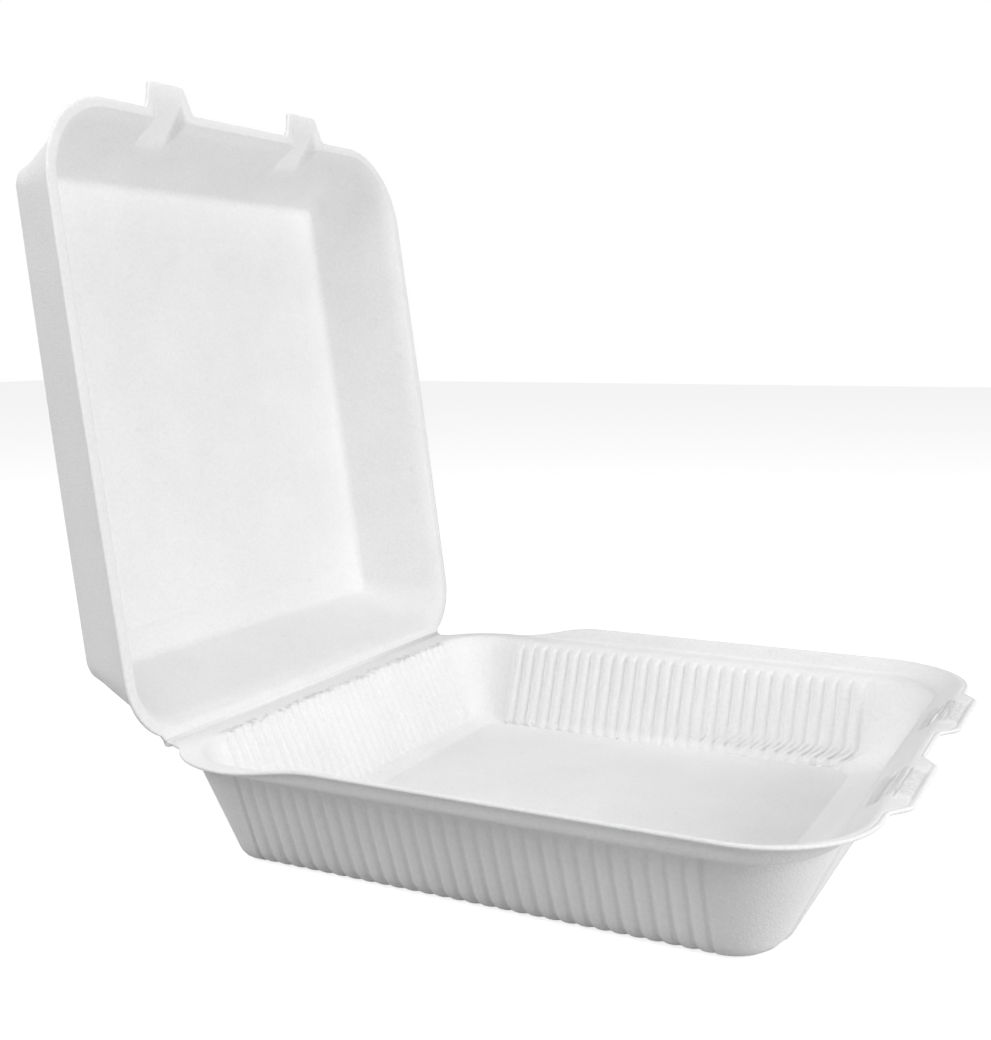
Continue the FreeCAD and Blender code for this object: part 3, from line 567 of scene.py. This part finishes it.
    def rib(self, across: float, first: float, pitch: float, count: int) -> float:
        """Height of the ribs at one place: 1 on a rib, 0 in a groove.

        Args:
            across: where to look, in the direction in which the ribs follow each other.
            first: middle of the first rib, at the high end.
            pitch: distance from rib to rib.
            count: number of ribs.

        Returns:
            A number from 0 to 1.
        """
        turns = (first - across) / pitch + 0.5
        if not 0.0 <= turns <= count:
            return 0.0
        wave = abs(math.sin(math.pi * turns))
        return 0.6 * ease(wave / 0.9) + 0.4 * wave

    def point(self, band: Band, stop: Stop) -> Vector:
        """Where a stop of a band lies, with all that is pressed into it.

        Args:
            band: the ring.
            stop: the place on it.

        Returns:
            The point in millimetres.
        """
        spot = band.high.point(stop)
        if band.low is not None:
            flat = band.low.point(stop)
            spot = flat.lerp(spot, self.lift(spot.y))
        if band.crease and stop.place in (Place.REAR_LEFT, Place.REAR_RIGHT):
            if abs(spot.x) < self.crease_half:
                spot.y = band.high.rear
        side = 1.0 if spot.x > 0 else -1.0
        if band.side_ribs and stop.place not in (Place.FRONT, Place.REAR):
            first = self.side_first + self.outer_shift * (band.side_ribs > 0)
            height = self.rib(spot.y, first, self.side_pitch, self.side_count)
            if stop.place in (Place.FRONT_LEFT, Place.FRONT_RIGHT):
                beside = stop.along if stop.place is Place.FRONT_RIGHT else 1.0 - stop.along
                height *= ease((beside - 0.2) / 0.5)
            if band.side_ribs > 0:
                last = first - (self.side_count - 0.5) * self.side_pitch
                height -= 1.0 * (last < spot.y < first + self.side_pitch / 2)
            spot.x += side * band.side_ribs * height
        if band.rear_ribs and stop.place is Place.REAR:
            first = (self.rear_count - 1) * self.rear_pitch / 2
            height = self.rib(spot.x, first, self.rear_pitch, self.rear_count)
            if band.rear_ribs > 0:
                height -= 1.0 * (abs(spot.x) < first + self.rear_pitch / 2)
            spot.y += band.rear_ribs * height
        if stop.place is Place.FRONT:
            self.press_front(band, spot)
        return spot

    def press_front(self, band: Band, spot: Vector) -> None:
        """Add ears, slots, patches and the raised field to a point of the front side."""
        offset = abs(spot.x) - self.latch_offset
        if band.ear:
            slope = (self.ear_root - abs(offset)) / (self.ear_root - self.ear_tip)
            spot.y -= band.ear * self.ear_length * softened(slope, self.ear_round)
        if band.sunk:
            spot.z -= self.sunk_depth * band.sunk * plateau(offset, self.sunk_half, self.sunk_slope)
        if band.patch:
            field = plateau(offset, self.patch_half, self.patch_slope)
            spot.z += self.patch_height * band.patch * field
        if band.slot:
            reach = min(1.0, abs(offset) / self.slot_half)
            open_share = math.sqrt(max(0.0, 1.0 - reach ** 3))
            flare = ease((abs(offset) - self.slot_half) / self.slot_flare)
            share = blend(self.slot_rest, 1.0, flare)
            if reach < 1.0:
                share = max(self.slot_rest, open_share)
            spot.z += band.slot * (share - 1.0) * self.slot_height / 2
            spot.y -= band.slot * (share - 1.0) * self.slot_run / 2
        if band.panel:
            field = plateau(spot.x, self.panel_half, self.panel_slope)
            spot.y -= band.panel * self.panel_height * field

    def build(self) -> bpy.types.Object:
        """Model the tray.

        Returns:
            The object, in place.
        """
        pace = self.pace()
        shell = Shell(pace.stops())
        bands = (self.floor_bands() + self.inner_bands() + self.ledge_bands()
                 + self.rim_bands() + self.outer_bands() + self.foot_bands())
        shell.settle([self.point(bands[0], stop) for stop in shell.stops])
        for band in bands[1:]:
            shell.grow([self.point(band, stop) for stop in shell.stops])
        shell.close()
        below = [place for place, band in enumerate(bands) if band.slot < 0]
        above = [place for place, band in enumerate(bands) if band.slot > 0]
        for side in (-1, 1):
            across = [corner.co.x - side * self.latch_offset
                      for corner in shell.rings[below[0]][:pace.front]]
            inside = [place for place, away in enumerate(across) if abs(away) < self.slot_half]
            shell.pierce((below[0], above[0]), (below[1], above[1]), inside[0], inside[-1])
        return shell.finish("foam_tray", Matrix.Identity(4))


@dataclass(frozen=True)
class Fold:
    """One ring of the lid.

    Attributes:
        inset: distance from the flange's edge.
        depth: height above the flange's inner face.
        corner: radii of the front and rear corners.
        tongue: share of a tongue's reach that the front of the ring takes.
        wall: thickness added over the channels, for rings of the outer face.
    """

    inset: float
    depth: float
    corner: Pair
    tongue: float = 0.0
    wall: float = 0.0


@dataclass(frozen=True)
class LidBuilder:
    """The upper half: flange, dome, pressed line, tongues and channels. Sizes in millimetres."""

    half: float = 111.1
    length: float = 226.9
    hinge_reach: float = 121.95
    hinge_level: float = 39.4
    opened: float = 98.1
    gap: float = 0.15
    depth: float = 35.0
    thickness: float = 2.5
    flange: float = 5.6
    flange_sheet: float = 1.4
    top_inset: float = 23.0
    front_step: float = 1.3
    front_ease: float = 0.5
    rear_ease: float = -2.0
    inner_flare: float = 1.2
    outer_flare: float = 2.9
    flare_end: float = 200.0
    top_corner: float = 6.0
    root_corner: float = 28.4
    front_corner: float = 33.0
    rear_corner: float = 24.0
    crease_half: float = 96.8
    bow: float = 0.8
    tongue_offset: float = 43.4
    tongue_length: float = 10.0
    tongue_tip: float = 9.5
    tongue_root: float = 13.0
    channel_half: float = 8.0
    channel_lip: float = 0.9
    channel_front: float = 229.6
    channel_root: float = 213.5
    panel_half: float = 73.2
    panel_low: float = 35.0
    panel_high: float = 189.0
    crown_inside: float = 4.5
    crown_outside: float = 5.5
    tongue_round: float = 0.2
    channel_wider: float = 1.8
    channel_slope: float = 2.2

    def ring(self, fold: Fold) -> Ring:
        """The outline of a fold, as if the lid were closed over the tray."""
        deep = ease((fold.inset - self.flange) / (self.top_inset - self.flange) * 0.5) * 2.0
        step = self.front_step * ease((fold.inset - self.flange / 2) / (self.flange / 2))
        front = self.length - self.hinge_reach - fold.inset + self.front_ease * deep + step
        rear = self.hinge_reach - max(fold.inset, self.gap) + self.rear_ease * deep
        return Ring(self.half - fold.inset, front, rear, fold.depth, fold.depth, fold.depth,
                    (fold.corner[0], fold.corner[0]), (fold.corner[1], fold.corner[1]))

    def lean(self, depth: float) -> float:
        """Inset of the inner wall at a depth."""
        return blend(self.flange, self.top_inset, depth / self.depth)

    def wall_fold(self, depth: float, outside: bool = False) -> Fold:
        """A fold on one of the sloping walls."""
        share = depth / self.depth
        run = (self.top_inset - self.flange) / self.depth
        band = self.thickness * math.sqrt(1 + run ** 2) if outside else 0.0
        corner = blend(self.root_corner, self.top_corner, share) + band
        rear = blend(self.rear_corner - self.flange, self.top_corner, share) + band
        return Fold(self.lean(depth) - band, depth, (corner, rear),
                    wall=self.flange_sheet + 0.5 if outside else 0.0)

    def crown(self, depth: float, round_size: float, outside: bool) -> list[Fold]:
        """The rounding between a wall and the flat top, from the top to the wall."""
        slope = math.degrees(math.atan((self.top_inset - self.flange) / self.depth))
        corner = self.wall_fold(depth, outside)
        tangent = round_size * math.tan(math.radians((90.0 - slope) / 2))
        folds = []
        for turn in (0.0, 18.0, 36.0, 52.0, 90.0 - slope):
            angle = math.radians(turn)
            inset = corner.inset + tangent - round_size * math.sin(angle)
            level = depth - round_size * (1 - math.cos(angle))
            folds.append(Fold(inset, level, corner.corner, wall=corner.wall))
        return folds

    def panel_rings(self) -> list[Ring]:
        """The flat top with the line pressed into it, from the middle out."""
        rows = ((5.4, 0.0), (4.2, 0.12), (2.9, 0.6), (1.9, 0.75), (0.9, 0.3), (-0.3, 0.0))
        front = self.panel_high - self.hinge_reach
        rear = self.hinge_reach - self.panel_low
        rings = []
        for inset, press in rows:
            level = self.depth + press
            corner = (9.0 - inset * 0.8,) * 2
            rings.append(Ring(self.panel_half - inset, front - inset, rear - inset,
                              level, level, level, corner, corner))
        return [scaled(rings[0], share) for share in (0.04, 0.35, 0.7)] + rings

    def inner_folds(self) -> list[Fold]:
        """The inner wall and the inner face of the flange."""
        walls = [self.wall_fold(depth) for depth in (27.0, 22.0, 17.5, 14.5, 11.5, 8.5, 5.5, 3.2)]
        root = self.wall_fold(0.0).corner
        rows = ((self.flange - 0.2, 1.3, 0.0), (self.flange - 0.9, 0.45, 0.0),
                (self.flange - 1.6, 0.08, 0.02), (3.4, 0.0, 0.2), (2.9, 0.0, 0.53),
                (2.5, 0.0, 0.63), (1.9, 0.0, 0.76), (1.2, 0.0, 0.89), (0.7, 0.05, 0.95),
                (0.25, 0.2, 0.985), (0.0, self.flange_sheet / 2, 1.0))
        return walls + [Fold(inset, depth, self.flange_corners(inset, root), tongue)
                        for inset, depth, tongue in rows]

    def flange_corners(self, inset: float, root: Pair) -> Pair:
        """Corner radii across the flange, from the wall's foot to the edge."""
        share = 1.0 - inset / self.flange
        return (blend(root[0], self.front_corner, share),
                blend(root[1], self.rear_corner, share))

    def outer_folds(self) -> list[Fold]:
        """The outer face of the flange and of the wall."""
        sheet = self.flange_sheet
        root = self.wall_fold(0.0, True).corner
        rows = ((0.25, sheet - 0.2, 0.985), (0.7, sheet - 0.05, 0.95), (1.2, sheet, 0.86),
                (1.9, sheet, 0.68), (2.4, sheet, 0.5), (2.9, sheet + 0.05, 0.25),
                (3.3, sheet + 0.5, 0.05))
        folds = [Fold(inset, depth, self.flange_corners(inset, root), tongue, sheet + 0.5)
                 for inset, depth, tongue in rows]
        return folds + [self.wall_fold(depth, True)
                        for depth in (4.0, 7.0, 11.0, 15.0, 19.0, 24.0, 29.0)]

    def channel_depth(self, along: float) -> float:
        """Depth of the channel behind a tongue, at a distance from the crease."""
        run = (self.top_inset - self.flange) / self.depth
        root_depth = (self.length - self.channel_root - self.flange) / run
        if along > self.channel_front:
            return self.channel_lip * ease((self.channel_front + 2.0 - along) / 2.0)
        share = (self.channel_front - along) / (self.channel_front - self.channel_root)
        return blend(self.channel_lip, root_depth, share)

    def point(self, ring: Ring, stop: Stop, fold: Fold | None) -> Vector:
        """Where a stop of a ring lies, with tongues and channels.

        Args:
            ring: the outline.
            stop: the place on it.
            fold: what is pressed into the ring, or None on the flat top.

        Returns:
            The point in millimetres, lid closed.
        """
        spot = ring.point(stop)
        middle = self.hinge_reach - self.length / 2
        swell = 1.0 - min(1.0, ((spot.y - middle) / (self.length / 2)) ** 2)
        spot.x += self.bow * swell * spot.x / self.half
        low = max(0.0, 1.0 - (self.hinge_reach - spot.y) / self.flare_end)
        flare = self.outer_flare if fold is not None and fold.wall else self.inner_flare
        spot.x += flare * low * min(1.0, spot.z / self.depth) * spot.x / self.half
        if (fold is not None and fold.inset < 1.5 and abs(spot.x) < self.crease_half
                and stop.place in (Place.REAR_LEFT, Place.REAR_RIGHT)):
            spot.y = ring.rear
        if fold is None or stop.place is not Place.FRONT:
            return spot
        offset = abs(spot.x) - self.tongue_offset
        if fold.tongue:
            slope = (self.tongue_root - abs(offset)) / (self.tongue_root - self.tongue_tip)
            spot.y -= fold.tongue * self.tongue_length * softened(slope, self.tongue_round)
        half = self.channel_half + (self.channel_wider if fold.wall else 0.0)
        window = plateau(offset, half, self.channel_slope)
        along = self.hinge_reach - spot.y
        if window and along > self.channel_root - 1.0:
            need = self.channel_depth(along - (1.0 if fold.wall else 0.0)) + fold.wall
            spot.z += max(0.0, need - spot.z) * window
        return spot

    def build(self) -> bpy.types.Object:
        """Model the lid closed and open it as in the photograph.

        Returns:
            The object, in place.
        """
        shell = Shell(Pace(front=190, side=90, rear=60, corner=20).stops())
        inner = self.crown(self.depth, self.crown_inside, False) + self.inner_folds()
        top = self.depth + self.thickness
        outer = self.outer_folds() + self.crown(top, self.crown_outside, True)[::-1]
        rows = [(ring, None) for ring in self.panel_rings()]
        rows += [(self.ring(fold), fold) for fold in inner + outer]
        last = rows[-1][0]
        rows += [(scaled(last, share), None) for share in (0.9, 0.5, 0.04)]
        shell.settle([self.point(rows[0][0], stop, rows[0][1]) for stop in shell.stops])
        for ring, fold in rows[1:]:
            shell.grow([self.point(ring, stop, fold) for stop in shell.stops])
        shell.close()
        hinge = Vector((0.0, self.hinge_reach, self.hinge_level))
        turn = Matrix.Rotation(math.radians(-self.opened), 4, "X")
        place = Matrix.Translation(hinge) @ turn @ Matrix.Translation((0.0, -self.hinge_reach, 0.0))
        return shell.finish("foam_lid", place)


@dataclass(frozen=True)
class CreaseBuilder:
    """The pressed strip of foam that joins the two halves. Sizes in millimetres.

    Attributes:
        half_length: half the length of the crease.
        reach: distance of the crease line from the middle of the tray.
        level: height of the crease line.
        section: corners of the strip's section, from the crease line, towards rear and top.
    """

    half_length: float = 96.3
    reach: float = 121.95
    level: float = 39.4
    section: tuple[Pair, ...] = (
        (-1.3, 0.02), (-0.7, 0.09), (-0.3, 0.22), (-0.08, 0.42), (0.03, 0.75), (0.12, 1.3),
        (1.5, 0.9), (1.56, 0.2), (1.4, -0.55), (0.95, -1.1), (0.25, -1.4), (-0.6, -1.42))

    def build(self) -> bpy.types.Object:
        """Model the strip as its section drawn along the crease line.

        Returns:
            The object, in place.
        """
        mesh = bmesh.new()
        bmesh.ops.create_circle(mesh, cap_ends=True, segments=len(self.section), radius=1.0)
        mesh.faces.ensure_lookup_table()
        cap = mesh.faces[0]
        for corner, (rear, rise) in zip(list(cap.verts), self.section):
            corner.co = (-self.half_length, self.reach + rear, self.level + rise)
        made = bmesh.ops.extrude_face_region(mesh, geom=[cap], use_keep_orig=True)["geom"]
        moved = [item for item in made if isinstance(item, bmesh.types.BMVert)]
        bmesh.ops.translate(mesh, verts=moved, vec=(2 * self.half_length, 0.0, 0.0))
        bmesh.ops.recalc_face_normals(mesh, faces=mesh.faces)
        bmesh.ops.scale(mesh, vec=(MM, MM, MM), verts=mesh.verts)
        for face in mesh.faces:
            face.smooth = len(face.verts) == 4
        return placed(mesh, "crease_strip")


class Wire:
    """A node socket that takes part in sums as a number would."""

    def __init__(self, graph: "Graph", socket: bpy.types.NodeSocket) -> None:
        """Wrap a socket of a graph."""
        self.graph = graph
        self.socket = socket

    def math(self, operation: str, *others: "Wire | float") -> "Wire":
        """A Math node on this value and others."""
        inputs = dict(enumerate((self, *others)))
        return self.graph.node("ShaderNodeMath", {"operation": operation}, inputs)[0]

    def __add__(self, other: "Wire | float") -> "Wire":
        """Sum of two values."""
        return self.math("ADD", other)

    __radd__ = __add__

    def __sub__(self, other: "Wire | float") -> "Wire":
        """Difference of two values."""
        return self.math("SUBTRACT", other)

    def __rsub__(self, other: float) -> "Wire":
        """A number less this value."""
        return self.graph.node("ShaderNodeMath", {"operation": "SUBTRACT"}, {0: other, 1: self})[0]

    def __mul__(self, other: "Wire | float") -> "Wire":
        """Product of two values."""
        return self.math("MULTIPLY", other)

    __rmul__ = __mul__

    def smooth(self, low: float, high: float) -> "Wire":
        """A smooth step from 0 to 1 between two values."""
        return self.graph.node("ShaderNodeMapRange", {"interpolation_type": "SMOOTHSTEP"},
                               {"Value": self, "From Min": low, "From Max": high})[0]


class Graph:
    """The nodes of one material or world."""

    def __init__(self, tree: bpy.types.NodeTree) -> None:
        """Start with an empty tree."""
        self.tree = tree
        tree.nodes.clear()

    def node(self, kind: str, settings: dict[str, object],
             inputs: dict[int | str, "Wire | float | tuple"]) -> list[Wire]:
        """Add a node.

        Args:
            kind: type name of the node.
            settings: properties of the node, set first.
            inputs: values or wires by socket name or number.

        Returns:
            The node's outputs.
        """
        made = self.tree.nodes.new(kind)
        for name, value in settings.items():
            setattr(made, name, value)
        for name, value in inputs.items():
            if isinstance(value, Wire):
                self.tree.links.new(value.socket, made.inputs[name])
            else:
                made.inputs[name].default_value = value
        return [Wire(self, output) for output in made.outputs]

    def noise(self, place: Wire, scale: float, detail: float, roughness: float,
              stretch: Triple | None = None) -> Wire:
        """A noise texture.

        Args:
            place: coordinates.
            scale: scale of the noise.
            detail: its detail.
            roughness: its roughness.
            stretch: scale by axis, put on the coordinates first.

        Returns:
            Its value.
        """
        if stretch:
            place = self.node("ShaderNodeMapping", {}, {"Vector": place, "Scale": stretch})[0]
        return self.node("ShaderNodeTexNoise", {},
                         {"Vector": place, "Scale": scale, "Detail": detail,
                          "Roughness": roughness})[0]

    def seen(self) -> Wire:
        """1 for rays from the camera, from reflections and through clear things, else 0."""
        path = self.node("ShaderNodeLightPath", {}, {})
        return path[0].math("MAXIMUM", path[3]).math("MAXIMUM", path[6])


@dataclass(frozen=True)
class FoamFinish:
    """White expanded foam: fine cells, faint clouding and a soft sheen.

    Attributes:
        white: colour of the foam.
        shade: colour of its slightly denser clouds.
        roughness: roughness of the skin.
        cell: size of one cell in millimetres.
        latch: middle of the latch, in millimetres from the middle of the front; 0 for none.
        torn: True where the strip along the crease is torn and crumpled.
        speck_place: where a dark crumb lies on the tray, in metres.
        ear_levels: heights between which the marks on the ears fade in, in metres.
    """

    white: Colour = (0.885, 0.885, 0.89, 1.0)
    shade: Colour = (0.80, 0.797, 0.80, 1.0)
    roughness: float = 0.62
    cell: float = 0.72
    latch: float = 0.0
    torn: bool = False
    speck_place: Triple = (0.0883, 0.0269, 0.0027)
    ear_levels: Pair = (0.0440, 0.0448)

    def material(self, name: str) -> bpy.types.Material:
        """Make the material.

        Args:
            name: name of the material.

        Returns:
            The material.
        """
        made = bpy.data.materials.new(name)
        made.use_nodes = True
        graph = Graph(made.node_tree)
        place = graph.node("ShaderNodeTexCoord", {}, {})[3]
        scale = 1.0 / (self.cell * MM)
        cells = graph.node("ShaderNodeTexVoronoi", {"feature": "F1"},
                           {"Vector": place, "Scale": scale, "Randomness": 1.0})[0]
        fine = graph.noise(place, scale * 0.55, 4.0, 0.6)
        cloud = graph.noise(place, 28.0, 3.0, 0.55)
        specks = graph.noise(place, 190.0, 2.0, 0.5)
        height = cells * 0.55 + fine * 0.9
        tint = (fine.smooth(0.3, 0.7) * 0.42 + cloud.smooth(0.35, 0.65) * 0.28
                + cells.smooth(0.1, 0.7) * 0.2 + specks.smooth(0.66, 0.74) * 0.3)
        if self.latch:
            marks = self.stretch_marks(graph, place)
            fields = self.sunk_field_shade(graph, place)
            tint = tint + self.speck(graph, place) * 4.0
            height = height + marks * 4.0 - fields * 1.2
            # the sunk ear fields get painted shade, darker than their shallow dent would cast
            tint = tint + marks * 1.1 + fields * 1.6
        if self.torn:
            tears = self.tears(graph, place)
            height = height - tears * 3.0
            tint = tint + tears * 1.8
        colour = graph.node("ShaderNodeMix", {"data_type": "RGBA", "clamp_factor": False},
                            {"Factor": tint, 6: self.white, 7: self.shade})[2]
        bump = graph.node("ShaderNodeBump", {},
                          {"Strength": 0.55, "Distance": 0.00022, "Height": height})[0]
        skin = graph.node("ShaderNodeBsdfPrincipled", {},
                          {"Base Color": colour, "Roughness": self.roughness, "Normal": bump,
                           "Specular IOR Level": 0.2, "Subsurface Weight": 0.0})[0]
        graph.node("ShaderNodeOutputMaterial", {}, {"Surface": skin})
        return made

    def ear_field(self, graph: Graph, place: Wire, ends: Pair,
                  back: Pair, front: Pair) -> Wire:
        """Mask of one field on top of each ear. Lengths in metres.

        Args:
            graph: the material's nodes.
            place: Object coordinates.
            ends: distances from the ear's middle between which the field fades.
            back: the same for its rear edge, as places along Y.
            front: the same for its front edge.

        Returns:
            1 in the fields and 0 elsewhere.
        """
        x, y, z = graph.node("ShaderNodeSeparateXYZ", {}, {0: place})
        reach = (x.math("ABSOLUTE") - self.latch * MM).math("ABSOLUTE")
        inside = (1.0 - reach.smooth(*ends)) * (1.0 - y.smooth(*back))
        return inside * y.smooth(*front) * z.smooth(*self.ear_levels)

    def stretch_marks(self, graph: Graph, place: Wire) -> Wire:
        """Wrinkles on the patches behind the ears, parallel to the front edge.

        Args:
            graph: the material's nodes.
            place: Object coordinates.

        Returns:
            Height of the marks, from 0 to 1.
        """
        inside = self.ear_field(graph, place, (0.0125, 0.0165), (-0.1175, -0.1165),
                                (-0.1215, -0.1200))
        lines = graph.noise(place, 1.0, 3.0, 0.6, (70.0, 1100.0, 500.0))
        return lines.smooth(0.42, 0.58) * inside

    def speck(self, graph: Graph, place: Wire) -> Wire:
        """One dark crumb at the foot of the far wall, 1 in its middle and 0 elsewhere."""
        away = graph.node("ShaderNodeVectorMath", {"operation": "DISTANCE"},
                          {0: place, 1: self.speck_place})[1]
        return 1.0 - away.smooth(0.0002, 0.0006)

    def sunk_field_shade(self, graph: Graph, place: Wire) -> Wire:
        """Painted shade in the pressed fields between the wrinkles and the tips of the ears.

        Args:
            graph: the material's nodes.
            place: Object coordinates.

        Returns:
            Strength of the painted shade: up to 1 in the fields, broken by specks, and 0 elsewhere.
        """
        inside = self.ear_field(graph, place, (0.0115, 0.0135), (-0.1202, -0.1192),
                                (-0.1252, -0.1242))
        specks = graph.noise(place, 900.0, 2.0, 0.6)
        return (0.4 + specks.smooth(0.40, 0.60) * 0.6) * inside

    def tears(self, graph: Graph, place: Wire) -> Wire:
        """Short dark cracks and crumbs just below the crease.

        Args:
            graph: the material's nodes.
            place: Object coordinates.

        Returns:
            Depth of the cracks, from 0 to 1.
        """
        x, y, z = graph.node("ShaderNodeSeparateXYZ", {}, {0: place})
        inside = y.smooth(0.1105, 0.1113) * (1.0 - y.smooth(0.1130, 0.1150))
        inside = inside * z.smooth(0.0370, 0.0385) * (1.0 - x.math("ABSOLUTE").smooth(0.0800, 0.0850))
        cracks = graph.noise(place, 1.0, 3.0, 0.7, (330.0, 420.0, 420.0))
        return cracks.smooth(0.50, 0.62) * inside


@dataclass(frozen=True)
class StudioFinish:
    """The white table of the studio.

    Attributes:
        grey: how the table answers to light, which keeps the object's shadow.
        glow: light that only the camera, reflections and clear things see.
    """

    grey: Colour = (0.5, 0.5, 0.5, 1.0)
    glow: float = 0.8

    def material(self, name: str) -> bpy.types.Material:
        """A table that the camera sees as white away from shadows."""
        made = bpy.data.materials.new(name)
        made.use_nodes = True
        graph = Graph(made.node_tree)
        lit = graph.node("ShaderNodeBsdfDiffuse", {}, {"Color": self.grey})[0]
        white = graph.node("ShaderNodeEmission", {}, {"Strength": graph.seen() * self.glow})[0]
        both = graph.node("ShaderNodeAddShader", {}, {0: lit, 1: white})[0]
        graph.node("ShaderNodeOutputMaterial", {}, {"Surface": both})
        return made


@dataclass(frozen=True)
class Lamp:
    """One soft square lamp that points at the middle of the object.

    Attributes:
        name: name of the lamp.
        turn: direction in degrees, 0 in front of the object, 90 to its left.
        height: angle above the table in degrees.
        power: power in watts.
    """

    name: str
    turn: float
    height: float
    power: float


@dataclass(frozen=True)
class Studio:
    """Floor, sky light, lamps and camera. Lengths in metres."""

    sky: float = 0.18
    lamps: tuple[Lamp, ...] = (Lamp("front_lamp", 0.0, 17.0, 18.2),
                               Lamp("side_lamp", 120.0, 40.0, 9.8),
                               Lamp("high_lamp", 90.0, 62.0, 8.8))
    lamp_size: float = 0.9
    lamp_distance: float = 1.6
    aim: Triple = (0.0, 0.02, 0.08)
    eye: Triple = (-0.45275, -0.19125, 0.18143)
    right: Triple = (0.45582313, -0.89003989, -0.00736648)
    up: Triple = (0.12565061, 0.05615262, 0.99048413)
    ahead: Triple = (0.88115674, 0.45241118, -0.13742972)
    focal_pixels: float = 1354.8
    image_height: float = 1040.0
    sensor: float = 36.0
    floor_half: float = 2.0

    def floor(self, finish: StudioFinish) -> None:
        """A wide flat table top under the container."""
        mesh = bmesh.new()
        bmesh.ops.create_grid(mesh, x_segments=8, y_segments=8, size=2 * self.floor_half)
        thing = placed(mesh, "studio_floor")
        thing.data.materials.append(finish.material("studio_white"))

    def light(self) -> None:
        """An even sky, which the camera sees as white, and the soft lamps."""
        world = bpy.data.worlds.new("studio_sky")
        world.use_nodes = True
        graph = Graph(world.node_tree)
        white = (1.0, 1.0, 1.0, 1.0)
        soft = graph.node("ShaderNodeBackground", {}, {"Strength": self.sky, "Color": white})[0]
        plain = graph.node("ShaderNodeBackground", {}, {"Strength": 1.0, "Color": white})[0]
        mixed = graph.node("ShaderNodeMixShader", {}, {0: graph.seen(), 1: soft, 2: plain})[0]
        graph.node("ShaderNodeOutputWorld", {}, {"Surface": mixed})
        bpy.context.scene.world = world
        for lamp in self.lamps:
            self.hang(lamp)

    def hang(self, lamp: Lamp) -> None:
        """Add one lamp."""
        data = bpy.data.lights.new(lamp.name, "AREA")
        data.energy = lamp.power
        data.size = self.lamp_size
        turn, height = math.radians(lamp.turn), math.radians(lamp.height)
        outwards = Vector((-math.sin(turn) * math.cos(height), -math.cos(turn) * math.cos(height),
                           math.sin(height)))
        holder = bpy.data.objects.new(lamp.name, data)
        holder.location = Vector(self.aim) + outwards * self.lamp_distance
        holder.rotation_euler = outwards.to_track_quat("Z", "Y").to_euler()
        bpy.context.scene.collection.objects.link(holder)

    def camera(self) -> None:
        """The camera that was solved from the photograph."""
        data = bpy.data.cameras.new("camera")
        data.sensor_width = self.sensor
        data.lens = self.focal_pixels * self.sensor / self.image_height
        data.clip_start = 0.01
        data.clip_end = 50.0
        thing = bpy.data.objects.new("camera", data)
        turn = Matrix((self.right, self.up, tuple(-part for part in self.ahead))).transposed()
        thing.matrix_world = Matrix.Translation(self.eye) @ turn.to_4x4()
        bpy.context.scene.collection.objects.link(thing)
        bpy.context.scene.camera = thing


def dress(thing: bpy.types.Object, finish: FoamFinish, title: str) -> None:
    """Give a piece its material and report it.

    Args:
        thing: the piece.
        finish: its finish.
        title: what the log and the material call it.
    """
    thing.data.materials.append(finish.material(title + "_foam"))
    log.info("%s: %d faces", title, len(thing.data.polygons))


def main() -> None:
    """Build the container and the studio, and report each piece."""
    logging.basicConfig(level=logging.INFO)
    scene = bpy.context.scene
    scene.view_settings.view_transform = "Standard"
    tray = TrayBuilder().build()
    dress(tray, FoamFinish(latch=43.0, torn=True), "tray")
    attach(tray, "base")
    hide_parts("base_tray")
    lid = LidBuilder().build()
    dress(lid, FoamFinish(), "lid")
    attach(lid, "cover")
    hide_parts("lid")
    strip = CreaseBuilder().build()
    dress(strip, FoamFinish(), "crease")
    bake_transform(strip)
    studio = Studio()
    studio.floor(StudioFinish())
    studio.light()
    studio.camera()


if __name__ == "__main__":
    main()
